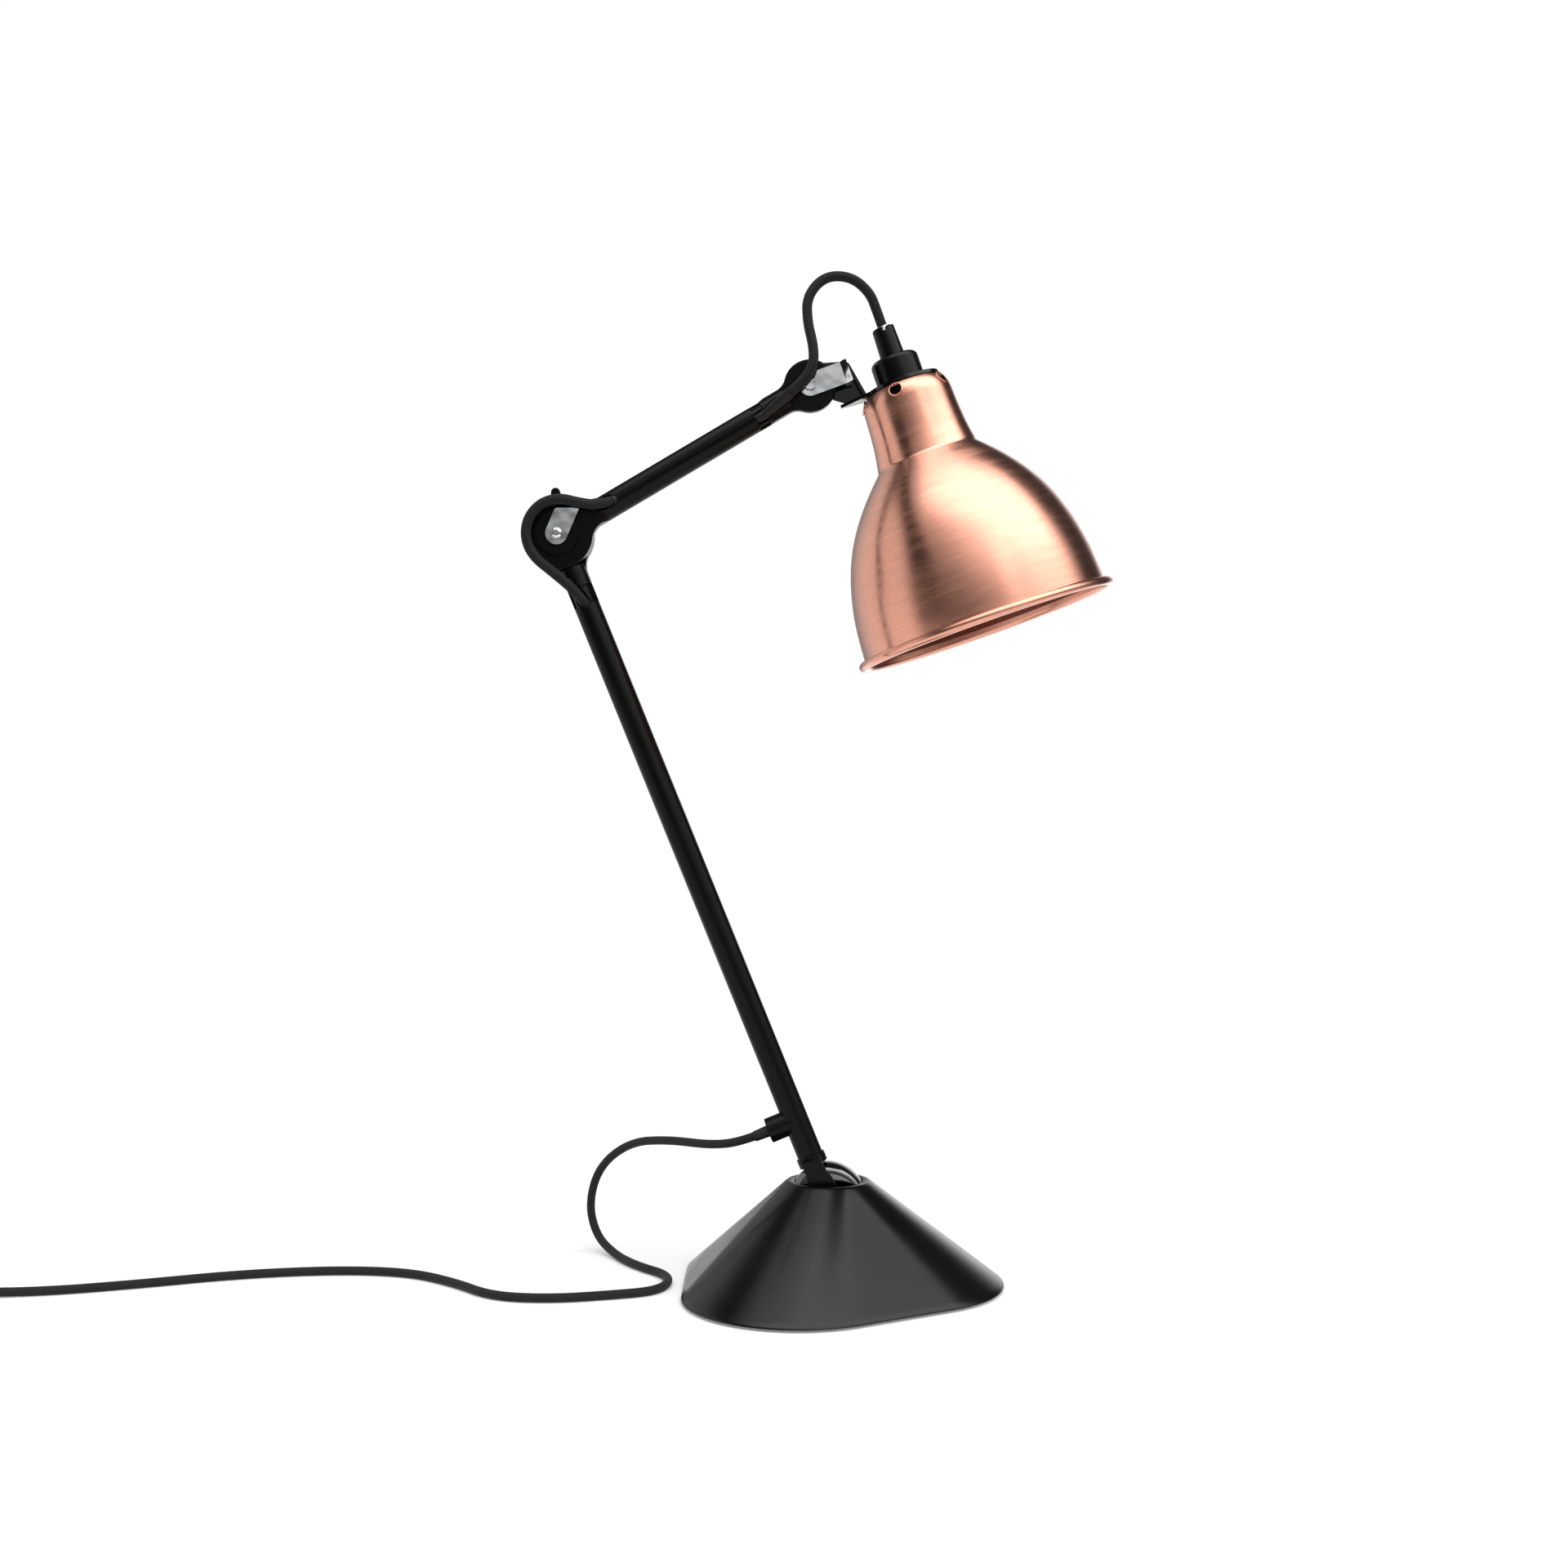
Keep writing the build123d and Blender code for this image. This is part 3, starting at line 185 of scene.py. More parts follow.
def add_range(nodes, links, noise, low, high):
    """A value that goes from low to high while the noise goes from 0.3 to 0.7, where most of it lies."""
    span = nodes.new("ShaderNodeMapRange")
    span.inputs["From Min"].default_value = 0.3
    span.inputs["From Max"].default_value = 0.7
    span.inputs["To Min"].default_value = low
    span.inputs["To Max"].default_value = high
    links.new(noise, span.inputs["Value"])
    return span.outputs["Result"]


def add_bump(nodes, links, shader, height, depth_mm):
    """Bumps of a given depth in millimetres on the shader's normal."""
    bump = nodes.new("ShaderNodeBump")
    bump.inputs["Strength"].default_value = 1.0
    bump.inputs["Distance"].default_value = depth_mm * MM
    links.new(height, bump.inputs["Height"])
    links.new(bump.outputs["Normal"], shader.inputs["Normal"])


# %% [markdown]
# The black parts have five different coats: one for the base, a satin one for tubes and eyes, a glossy
# one, and two for moulded plastic. Real paint is never quite even: a fine grain scatters the light, and
# wide faint patches change how sharp the reflections are. The tones are lower than such paint has, to
# offset the strong light from overhead.


# %% Black coats
def black_coat(name, tone, roughness, grain_mm, grain_size, specular, spread=0.05):
    """Black paint: a fine grain for its bumps, and slow noise that changes the roughness a little."""
    finish, nodes, links, shader = new_finish(name, (tone, tone, tone * 1.06), roughness, specular=specular)
    place = nodes.new("ShaderNodeTexCoord").outputs["Object"]
    grain = add_noise(nodes, links, place, grain_size, detail=4.0)
    add_bump(nodes, links, shader, grain, grain_mm)
    patches = add_noise(nodes, links, place, 35.0, detail=2.0)
    links.new(
        add_range(nodes, links, patches, roughness - spread, roughness + spread),
        shader.inputs["Roughness"],
    )
    return finish


base_coat = black_coat("matte_black_base", 0.003, 0.22, 0.002, 2600.0, specular=0.28, spread=0.03)
satin_coat = black_coat("satin_black_paint", 0.003, 0.24, 0.002, 1500.0, specular=0.12)
gloss_coat = black_coat("gloss_black_paint", 0.002, 0.07, 0.001, 400.0, specular=0.5, spread=0.02)
holder_coat = black_coat("moulded_black_cap", 0.003, 0.20, 0.003, 1200.0, specular=0.18)
plastic_coat = black_coat("matte_black_plastic", 0.006, 0.5, 0.008, 1800.0, specular=0.3)

# %% [markdown]
# The levers, screws and nuts are polished and plated, and the ball has a dark plating. Such metal shows
# its surroundings almost like a mirror, which slow ripples bend and faint smears blur.


# %% Polished metal
def polished_metal(name, colour, roughness, ripple_mm):
    """Plated metal: slow ripples left by the polishing, and smears that change the roughness."""
    finish, nodes, links, shader = new_finish(name, colour, roughness, metal=1.0)
    place = nodes.new("ShaderNodeTexCoord").outputs["Object"]
    ripples = add_noise(nodes, links, place, 110.0, detail=1.0)
    add_bump(nodes, links, shader, ripples, ripple_mm)
    smears = add_noise(nodes, links, place, 120.0, detail=2.0)
    links.new(
        add_range(nodes, links, smears, roughness * 0.7, roughness * 1.5),
        shader.inputs["Roughness"],
    )
    return finish


chrome = polished_metal("polished_plating", (0.80, 0.81, 0.83), 0.07, 0.45)
spring_steel = polished_metal("oiled_spring_steel", (0.42, 0.42, 0.44), 0.30, 0.02)
dark_plating = polished_metal("dark_polished_plating", (0.15, 0.15, 0.155), 0.05, 0.01)

# %% [markdown]
# The shade is spun from sheet and brushed while it turns, so its hair lines run round it. Light spreads
# across such lines and hardly along them, and that pulls every reflection into a band from the neck to
# the rim. The shader does this with its anisotropy, which needs the direction of the lines: the cross
# product of the shade's axis and the way out from it. The lines themselves are noise that is very fine
# along the axis and slow round it.


# %% Brushed copper
def brushed_copper(name, colour, roughness, anisotropy):
    """Copper brushed in rings: anisotropy along the profile, and ring-shaped marks in bump and colour."""
    finish, nodes, links, shader = new_finish(name, colour, roughness, metal=1.0)
    shader.inputs["Anisotropic"].default_value = anisotropy
    shader.inputs["Anisotropic Rotation"].default_value = 0.25
    shader.inputs["Coat Weight"].default_value = 0.5
    shader.inputs["Coat Roughness"].default_value = 0.2
    local = nodes.new("ShaderNodeMapping")
    local.vector_type = "TEXTURE"
    local.inputs["Location"].default_value = tuple(rim_centre * MM)
    local.inputs["Rotation"].default_value = (0.0, math.radians(-shade_lean), 0.0)
    place = nodes.new("ShaderNodeTexCoord").outputs["Object"]
    links.new(place, local.inputs["Vector"])
    away = nodes.new("ShaderNodeVectorMath")
    away.operation = "SUBTRACT"
    away.inputs[1].default_value = tuple(rim_centre * MM)
    links.new(place, away.inputs[0])
    around = nodes.new("ShaderNodeVectorMath")
    around.operation = "CROSS_PRODUCT"
    around.inputs[0].default_value = tuple(shade_up)
    links.new(away.outputs["Vector"], around.inputs[1])
    unit = nodes.new("ShaderNodeVectorMath")
    unit.operation = "NORMALIZE"
    links.new(around.outputs["Vector"], unit.inputs[0])
    links.new(unit.outputs["Vector"], shader.inputs["Tangent"])
    rings = add_noise(nodes, links, local.outputs["Vector"], 60.0, detail=2.0, stretch=(1.0, 1.0, 28.0))
    add_bump(nodes, links, shader, rings, 0.00015)
    worn = add_noise(nodes, links, local.outputs["Vector"], 25.0, detail=2.0, stretch=(1.0, 1.0, 12.0))
    links.new(
        add_range(nodes, links, worn, roughness * 0.85, roughness * 1.2),
        shader.inputs["Roughness"],
    )
    tint = nodes.new("ShaderNodeMix")
    tint.data_type = "RGBA"
    tint.inputs["A"].default_value = (*[c * 0.93 for c in colour], 1.0)
    tint.inputs["B"].default_value = (*[min(c * 1.05, 1.0) for c in colour], 1.0)
    links.new(add_range(nodes, links, rings, 0.0, 1.0), tint.inputs["Factor"])
    links.new(tint.outputs["Result"], shader.inputs["Base Color"])
    return finish


copper = brushed_copper("brushed_copper", (0.76, 0.35, 0.245), 0.26, 0.7)
# The inside of the shade gets a much darker, rougher copper than the outside: painted shade for the dim
# inside of the bell.
inner_copper_painted_shade = brushed_copper("copper_inside_painted_shade", (0.20, 0.052, 0.030), 0.42, 0.3)

# %% [markdown]
# The cords have a braided textile jacket. On a braid two sets of strands cross: one climbs to the left,
# the other to the right, and they take turns on top. The cord's UV map holds turns round the cord in U
# and cord widths along it in V, so the strand's number is a sum or a difference of the two.


# %% Braid
braid_strands, braid_pitch = 8, 0.55


def add_math(nodes, links, operation, a, b=None):
    """One step of arithmetic, on sockets or plain numbers."""
    step = nodes.new("ShaderNodeMath")
    step.operation = operation
    for socket, value in zip(step.inputs, (a, b)):
        if isinstance(value, (int, float)):
            socket.default_value = value
        elif value is not None:
            links.new(value, socket)
    return step.outputs["Value"]


def braided_textile(name, tone, strands, pitch):
    """Braid: strand = strands * (U +- V * pitch); its round back is a half sine; odd and even crossings
    show the one set or the other. The colour is painted darker in the grooves and lighter on the backs:
    painted shade and painted light."""
    finish, nodes, links, shader = new_finish(name, (tone, tone, tone * 1.05), 0.72, specular=0.25)
    shader.inputs["Sheen Weight"].default_value = 0.08
    shader.inputs["Sheen Roughness"].default_value = 0.4
    uv = nodes.new("ShaderNodeUVMap")
    uv.uv_map = "along"
    split = nodes.new("ShaderNodeSeparateXYZ")
    links.new(uv.outputs["UV"], split.inputs["Vector"])
    round_cord = add_math(nodes, links, "MULTIPLY", split.outputs["X"], float(strands))
    along_cord = add_math(nodes, links, "MULTIPLY", split.outputs["Y"], float(strands) * pitch)
    left = add_math(nodes, links, "ADD", round_cord, along_cord)
    right = add_math(nodes, links, "SUBTRACT", round_cord, along_cord)
    backs = []
    for strand in (left, right):
        wave = add_math(nodes, links, "SINE", add_math(nodes, links, "MULTIPLY", strand, math.pi))
        backs.append(add_math(nodes, links, "ABSOLUTE", wave))
    crossing = add_math(
        nodes, links, "ADD", add_math(nodes, links, "FLOOR", left), add_math(nodes, links, "FLOOR", right)
    )
    turn_taken = add_math(nodes, links, "FLOORED_MODULO", crossing, 2.0)
    on_top = nodes.new("ShaderNodeMix")
    links.new(turn_taken, on_top.inputs["Factor"])
    links.new(backs[0], on_top.inputs["A"])
    links.new(backs[1], on_top.inputs["B"])
    add_bump(nodes, links, shader, on_top.outputs["Result"], 0.12)
    # Painted shade and light: the colour goes dark where the strands sink between their neighbours and
    # lighter on their round backs.
    tint = nodes.new("ShaderNodeMix")
    tint.data_type = "RGBA"
    tint.inputs["A"].default_value = (tone * 0.35, tone * 0.35, tone * 0.38, 1.0)
    tint.inputs["B"].default_value = (tone * 1.3, tone * 1.3, tone * 1.36, 1.0)
    links.new(on_top.outputs["Result"], tint.inputs["Factor"])
    links.new(tint.outputs["Result"], shader.inputs["Base Color"])
    return finish


cord_braid = braided_textile("black_cord_braid", 0.010, braid_strands, braid_pitch)

# %% [markdown]
# ## Cords
# A cord is a fixed length of something that bends softly. Its way is a smooth spline through air and
# over the table. The spline is turned into a plain line of points first, and a ring of points is then
# carried along that line.


# %% Lines and tubes of the cords
def smooth_line(name, points_mm):
    """The points along a quadratic spline that has the route's points as its control points, in mm."""
    curve = bpy.data.curves.new(name, "CURVE")
    curve.dimensions = "3D"
    spline = curve.splines.new("NURBS")
    spline.points.add(len(points_mm) - 1)
    for point, place in zip(spline.points, points_mm):
        point.co = (*[float(c) * MM for c in place], 1.0)
    spline.order_u = 3
    spline.use_endpoint_u = True
    spline.resolution_u = 10
    guide = bpy.data.objects.new(name, curve)
    bpy.context.scene.collection.objects.link(guide)
    line = bpy.data.meshes.new_from_object(guide)
    places = np.zeros(len(line.vertices) * 3)
    line.vertices.foreach_get("co", places)
    bpy.data.objects.remove(guide)
    bpy.data.meshes.remove(line)
    return places.reshape(-1, 3) / MM


def line_length(line):
    """The sum of the steps between neighbouring points."""
    return float(np.linalg.norm(np.diff(line, axis=0), axis=1).sum())


def length_so_far(line):
    """For each point, the sum of the steps before it."""
    return np.concatenate([[0.0], np.cumsum(np.linalg.norm(np.diff(line, axis=0), axis=1))])


def even_line(line, step):
    """The same line with points at equal steps: each coordinate is read off against the length so far."""
    so_far = length_so_far(line)
    count = max(int(round(so_far[-1] / step)), 2)
    marks = np.linspace(0.0, so_far[-1], count + 1)
    return np.stack([np.interp(marks, so_far, line[:, k]) for k in range(3)], -1)


def carried_frames(line):
    """A direction along the line at each point and two across it. The first across direction is carried
    along without twist: at each step it loses only its part along the new direction."""
    way = np.gradient(line, axis=0)
    way /= np.linalg.norm(way, axis=1)[:, None]
    side = np.zeros_like(way)
    side[0] = unit(np.cross(way[0], [0.0, 0.0, 1.0]))
    for k in range(1, len(line)):
        side[k] = unit(side[k - 1] - way[k] * np.dot(side[k - 1], way[k]))
    return way, side, np.cross(way, side)


def cord_tube(name, line, radius, material, sides, weave=0.0):
    """A ring of points carried along a line, closed at both ends. Point = line + reach * (cosine * side
    + sine * other side). A weave sinks what lies between the strands' backs: reach = radius - weave
    + weave * the half sine of the strand on top."""
    _, side, other = carried_frames(line)
    u, v = np.meshgrid(np.arange(sides) / sides, length_so_far(line) / (2 * radius))
    left = braid_strands * (u + v * braid_pitch)
    right = braid_strands * (u - v * braid_pitch)
    odd = (np.floor(left) + np.floor(right)) % 2
    back = np.where(odd < 0.5, np.abs(np.sin(np.pi * left)), np.abs(np.sin(np.pi * right)))
    reach = radius - weave + weave * back
    angle = 2 * np.pi * u
    ring = (
        line[:, None, :]
        + (reach * np.cos(angle))[..., None] * side[:, None, :]
        + (reach * np.sin(angle))[..., None] * other[:, None, :]
    )
    faces = [list(f) for f in grid_faces(len(line), sides)[:, ::-1]]
    last = (len(line) - 1) * sides
    faces.append(list(range(sides)))
    faces.append([last + k for k in reversed(range(sides))])
    uv = np.stack([u.ravel(), v.ravel()], -1)
    return put_mesh(name, ring.reshape(-1, 3), faces, material, uv=uv)


# %% [markdown]
# The mains cord leaves the gland on the stem, arches out and back to the table, turns sharply beside
# the base and runs away to the left. The spare length is wound into a coil of two layers, with the plug
# beside it. Every turn of the coil is sixteen more points of the same spline. The spline cuts the corners
# between its points, so the coil's points are moved a little further out.

# %% Route of the mains cord
cord_radius = 2.3
gland_height, gland_reach = 45.0, 15.3
gland_way = leaning(180 + stem_lean)
gland_end = ball_centre + stem_way * gland_height + gland_way * gland_reach
arch_and_floor = [
    (-62.0, 12.0, 71.0),
    (-85.0, 35.0, 69.6),
    (-108.0, 57.0, 64.6),
    (-127.0, 73.0, 48.0),
    (-133.5, 78.0, 26.0),
    (-129.0, 74.0, 9.0),
    (-117.5, 57.0, 2.4),
    (-103.0, 31.0, 2.4),
    (-82.0, 9.0, 2.4),
    (-86.0, -19.0, 2.4),
    (-112.0, -28.0, 2.4),
    (-141.0, -34.5, 2.4),
    (-171.0, -30.0, 2.4),
    (-194.0, -4.0, 2.4),
    (-222.0, 17.0, 2.4),
    (-262.0, 22.0, 2.4),
    (-312.0, 13.0, 2.4),
    (-362.0, -8.0, 2.4),
    (-406.0, -22.0, 2.4),
]
layer_turns, climb_turns, points_a_turn = 2.875, 0.5, 16
coil_turns = 2 * layer_turns + climb_turns
coil_centre = np.array([-482.0, 12.0])
coil_inner, coil_pitch, coil_swell = 19.0, 5.9, 1.012
coil_floor, layer_rise = 3.1, 5.2
nearly_none = 0.001


def coil_places(turn):
    """Points of the coil: a spiral that winds in on the table for the first layer, climbs by one cord
    while it stays at the inside, and winds out again on top. Radius is inner radius + pitch * turns."""
    climb = np.clip((turn - layer_turns) / climb_turns, 0.0, 1.0)
    inward = np.maximum(layer_turns - turn, 0.0)
    outward = np.maximum(turn - layer_turns - climb_turns, 0.0)
    radius = coil_inner + coil_pitch * (inward + outward)
    angle = np.radians(-90 - 360 * turn)
    height = coil_floor + layer_rise * climb * climb * (3 - 2 * climb)
    x = coil_centre[0] + radius * np.cos(angle)
    y = coil_centre[1] + radius * np.sin(angle)
    return np.stack([x, y, height], -1)


coil = coil_places(np.linspace(0.0, coil_turns, round(coil_turns * points_a_turn) + 1))
coil[:, :2] = coil_centre + (coil[:, :2] - coil_centre) * coil_swell
lead = coil_places(np.array([0.0, nearly_none]))
lead_way = unit(lead[1] - lead[0])
tail = coil_places(np.array([coil_turns - nearly_none, coil_turns]))
tail_way = unit(tail[1] - tail[0])
coil_start = lead[0] - lead_way * 2 * cord_radius
coil_end = tail[1] + tail_way * 22.0
mains_points = [
    gland_end,
    gland_end + gland_way * 15.5,
    *[np.array(point) for point in arch_and_floor],
    coil_start - lead_way * 30.0,
    coil_start,
    *coil,
    tail[1] + tail_way * 11.0,
    coil_end,
]
mains_line = even_line(smooth_line("mains_line", mains_points), 1.3)
print("mains cord", round(line_length(mains_line)), "mm long")

# %% Mains cord
mains_piece = cord_tube("mains_cord_braided", mains_line, cord_radius, cord_braid, sides=22)
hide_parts("mains_cord", "mains_cord_coil")
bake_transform(mains_piece)

# %% [markdown]
# Two short cords pass the joints. One leaves the stem, loops round the left of the elbow and goes into the
# arm. The other leaves the arm under a long sleeve, stands up in a high loop and goes down into the lamp
# holder. They are close to the camera, so their weave is real relief, not only bump.

# %% Routes of the short cords
link_radius = 2.65
collet_height, collet_run = 165.8, 9.4
elbow_offsets = [
    (14.6, -3.6, -36.4),
    (9.6, -6.4, -29.8),
    (-1.4, -9.8, -20.6),
    (-11.6, -11.2, -12.6),
    (-16.0, -11.6, -3.4),
    (-14.8, -12.0, 7.2),
    (-7.8, -12.6, 15.2),
    (2.0, -12.8, 17.8),
    (12.0, -11.6, 15.4),
    (20.4, -8.0, 14.8),
    (28.2, -4.4, 17.4),
]
head_offsets = [
    (-10.3, -8.2, -4.7),
    (-3.6, -10.6, 0.6),
    (1.8, -11.0, 9.0),
    (1.6, -9.4, 19.5),
    (-1.4, -6.6, 32.0),
    (-1.8, -5.0, 46.0),
    (7.6, -3.0, 57.2),
    (21.4, -1.4, 57.4),
    (31.2, -0.3, 49.4),
]
collet_end = rim_centre + shade_up * collet_height
elbow_points = [elbow + np.array(offset) for offset in elbow_offsets]
head_points = [head + np.array(offset) for offset in head_offsets]
head_points += [collet_end + shade_up * collet_run, collet_end]


# %% Short cords
def link_cord(name, node, points):
    """A short woven cord from one body to the next."""
    line = even_line(smooth_line(name + "_line", points), 0.3)
    piece = cord_tube(name, line, link_radius, cord_braid, sides=40, weave=0.22)
    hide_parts(node)
    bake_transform(piece)


link_cord("elbow_cord_braided", "elbow_cord", elbow_points)
link_cord("head_cord_braided", "head_cord", head_points)

# %% [markdown]
# ## Shade
# The shade is one profile turned round its axis: a rolled rim, a bell that closes to a narrow waist, a
# neck and a rounded shoulder. A natural cubic spline through a few measured widths gives the same soft
# bell as a spinner's form. The wall is thin, so the inside is the outside moved in along its normals.


# %% Splines and turned surfaces
def natural_spline(points, count):
    """A cubic spline through points, with no bend at its ends: the second derivatives solve one band of
    equations, and each span mixes its two end values with the cubes of the distances from them."""
    points = np.asarray(points, float)
    t = length_so_far(points)
    h = np.diff(t)
    n = len(t)
    matrix = np.eye(n)
    right = np.zeros((n, 2))
    inner = np.arange(1, n - 1)
    matrix[inner, inner - 1] = h[:-1]
    matrix[inner, inner] = 2 * (h[:-1] + h[1:])
    matrix[inner, inner + 1] = h[1:]
    slopes = np.diff(points, axis=0) / h[:, None]
    right[inner] = 6 * np.diff(slopes, axis=0)
    bend = np.linalg.solve(matrix, right)
    marks = np.linspace(0.0, t[-1], count)
    k = np.clip(np.searchsorted(t, marks) - 1, 0, n - 2)
    a = (t[k + 1] - marks)[:, None]
    b = (marks - t[k])[:, None]
    w = h[k][:, None]
    cubes = (bend[k] * a**3 + bend[k + 1] * b**3) / (6 * w)
    return cubes + (points[k] / w - bend[k] * w / 6) * a + (points[k + 1] / w - bend[k + 1] * w / 6) * b


def turned(name, profile, centre, across, up, material, steps, close=True):
    """A profile of (radius, height) turned round an axis. Point = centre + up * height + radius *
    (cosine * across + sine * forward). A closed profile joins its last point to its first."""
    profile = np.asarray(profile, float)
    forward = np.cross(up, across)
    angle = 2 * np.pi * np.arange(steps) / steps
    out = np.cos(angle)[:, None] * across + np.sin(angle)[:, None] * forward
    points = (
        centre
        + profile[:, 1][:, None, None] * up
        + profile[:, 0][:, None, None] * out[None, :, :]
    ).reshape(-1, 3)
    return put_mesh(name, points, grid_faces(len(profile), steps, close_rows=close), material)


def moved_in(profile, wall):
    """The profile moved by a wall thickness along its normals, which are its steps turned by 90 degrees."""
    step = np.gradient(profile, axis=0)
    step /= np.linalg.norm(step, axis=1)[:, None]
    return profile - wall * np.stack([step[:, 1], -step[:, 0]], -1)


# %% Profile of the shade
wall = 0.8
mouth_radius, narrowing, waist_radius, waist_height = 65.9, 38.7, 27.2, 93.5
neck_radius, neck_height, top_height, hole_radius = 24.0, 123.5, 133.0, 11.2
bead_reach, bead_height, bead_radius = 67.4, 1.15, 2.3
closed_in = [(0.0, 0.0), (0.267, 0.049), (0.449, 0.145), (0.629, 0.310), (0.787, 0.543), (0.920, 0.811)]
bell = [(mouth_radius - narrowing * inward, waist_height * rise) for rise, inward in closed_in]
bell = natural_spline(bell + [(waist_radius, waist_height)], 90)
neck = natural_spline([(waist_radius, waist_height), (25.6, 103.0), (neck_radius, neck_height)], 30)
bend_angle = np.radians(np.linspace(4, 90, 16))
shoulder = np.stack([18.0 + 6.0 * np.cos(bend_angle), neck_height + 9.5 * np.sin(bend_angle)], -1)
top = np.array([(15.0, top_height), (hole_radius, top_height)])
outside = np.concatenate([bell[bell[:, 1] > 3.0], neck[1:], shoulder, top])
inside = moved_in(outside, wall)[::-1]
inside = inside[inside[:, 1] > 1.6]
inside[0] = (hole_radius, top_height - wall)
bead_angle = np.radians(np.linspace(182, 494, 40))
bead_ring = np.stack([np.cos(bead_angle), np.sin(bead_angle)], -1)
bead = np.array([bead_reach, bead_height]) + bead_radius * bead_ring
shade_profile = np.concatenate([outside, inside, bead])
print("shade profile", len(shade_profile), "points, widest", round(float(shade_profile[:, 0].max()), 1))


# %% [markdown]
# Five round vents let the warm air out at the shoulder. They are drilled with short cylinders, because
# a hole across a curved wall has an edge that no grid follows. Each has a thin raised lip, a ring that is
# turned about the wall's normal. A ray down the middle of the vent finds its place before the drilling.


# %% Shade with its vents
def drilled(piece, bars):
    """Cut the bars out of the piece, keep the result as its plain mesh, and remove the bars."""
    for k, bar in enumerate(bars):
        cut = piece.modifiers.new(f"vent_{k}", "BOOLEAN")
        cut.operation = "DIFFERENCE"
        cut.solver = "EXACT"
        cut.object = bar
    bpy.context.view_layer.update()
    solid = bpy.data.meshes.new_from_object(piece.evaluated_get(bpy.context.evaluated_depsgraph_get()))
    piece.modifiers.clear()
    piece.data = solid
    for bar in bars:
        bpy.data.objects.remove(bar)


def side_of(way):
    """A unit vector square to a way: its cross product with a line that leans a little off the Y axis."""
    return unit(np.cross(way, [0.0, 1.0, 0.2]))


vent_count, vent_first, vent_rise = 5, -108.0, math.radians(32)
vent_height, vent_reach, vent_radius = 128.6, 22.5, 3.2
lip_radius, lip_round = 3.5, 0.35
bar_profile = [(0.001, -4.0), (vent_radius, -4.0), (vent_radius, 6.0), (0.001, 6.0)]
shade_piece = turned("shade_spun", shade_profile, rim_centre, shade_across, shade_up, copper, steps=240)
bars, lip_places = [], []
for k in range(vent_count):
    turn = math.radians(vent_first + 360 / vent_count * k)
    out = shade_across * math.cos(turn) + np.array([0.0, math.sin(turn), 0.0])
    bore = out * math.cos(vent_rise) + shade_up * math.sin(vent_rise)
    middle = rim_centre + shade_up * vent_height + out * vent_reach
    bar = turned(f"vent_bar_{k}", bar_profile, middle, side_of(bore), bore, copper, steps=40, close=False)
    bars.append(bar)
    start = (middle + bore * 20.0) * MM
    _, place, normal, _ = shade_piece.ray_cast(tuple(start), tuple(-bore))
    lip_places.append((np.array(place) / MM, np.array(normal)))
drilled(shade_piece, bars)
sharp_from = math.radians(40)
shade_piece.data.set_sharp_from_angle(angle=sharp_from)
# Faces that look inwards above the rim take the darker copper, which is the painted shade of the inside.
shade_piece.data.materials.append(inner_copper_painted_shade)
count = len(shade_piece.data.polygons)
middles = np.zeros(count * 3)
normals = np.zeros(count * 3)
shade_piece.data.polygons.foreach_get("center", middles)
shade_piece.data.polygons.foreach_get("normal", normals)
middles = middles.reshape(-1, 3) / MM - rim_centre
heights = middles @ shade_up
ways_out = middles - heights[:, None] * shade_up
faces_in = (normals.reshape(-1, 3) * ways_out).sum(-1) < 0
inner_faces = (faces_in & (heights > 3.6)).astype(np.int32)
shade_piece.data.polygons.foreach_set("material_index", inner_faces)
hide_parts("shade")
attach(shade_piece, "head")
lip_angle = np.radians(np.arange(0, 360, 30))
lip_profile = np.stack([lip_radius + lip_round * np.cos(lip_angle), lip_round * np.sin(lip_angle)], -1)
for k, (place, normal) in enumerate(lip_places):
    lip = turned(f"vent_lip_{k}", lip_profile, place, side_of(normal), normal, copper, steps=40)
    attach(lip, "head")
print("shade after drilling", len(shade_piece.data.polygons), "faces")

# %% [markdown]
# ## Base
# The base is one casting that runs from a round mouth down to a three-cornered foot. Its outline at any
# height is a triangle grown by a radius, so the formula has two parts: a point that walks round the small
# triangle, and a way out from it that turns only at the corners. Along the slope both shrink evenly
# towards the mouth. The rows run from the underside up the slope, over the lip and down the bore, and the
# last joins the first, so the skin is closed. Each row is (size of the triangle, radius, height), and
# point = size * place + radius * way out + height. The skin's foot is 1 to 1.4 mm wider than the model's.


# %% Outline that walks round the foot
def walk_round(corner_steps=44, side_steps=10):
    """For each column: a place on a triangle of size 1, and the way out there. At a corner the place
    stays and the way out turns by 120 degrees; along a side the place moves and the way out stays."""
    places, ways = [], []
    for k in range(3):
        middle = 2 * np.pi * k / 3
        corner = np.array([math.cos(middle), math.sin(middle), 0.0])
        angle = middle + np.linspace(-np.pi / 3, np.pi / 3, corner_steps)
        places.append(np.repeat(corner[None], corner_steps, axis=0))
        ways.append(np.stack([np.cos(angle), np.sin(angle), 0 * angle], -1))
        after = 2 * np.pi * (k + 1) / 3
        next_corner = np.array([math.cos(after), math.sin(after), 0.0])
        share = np.linspace(0, 1, side_steps + 2)[1:-1, None]
        places.append(corner * (1 - share) + next_corner * share)
        ways.append(np.repeat(ways[-1][-1][None], side_steps, axis=0))
    return np.concatenate(places), np.concatenate(ways)


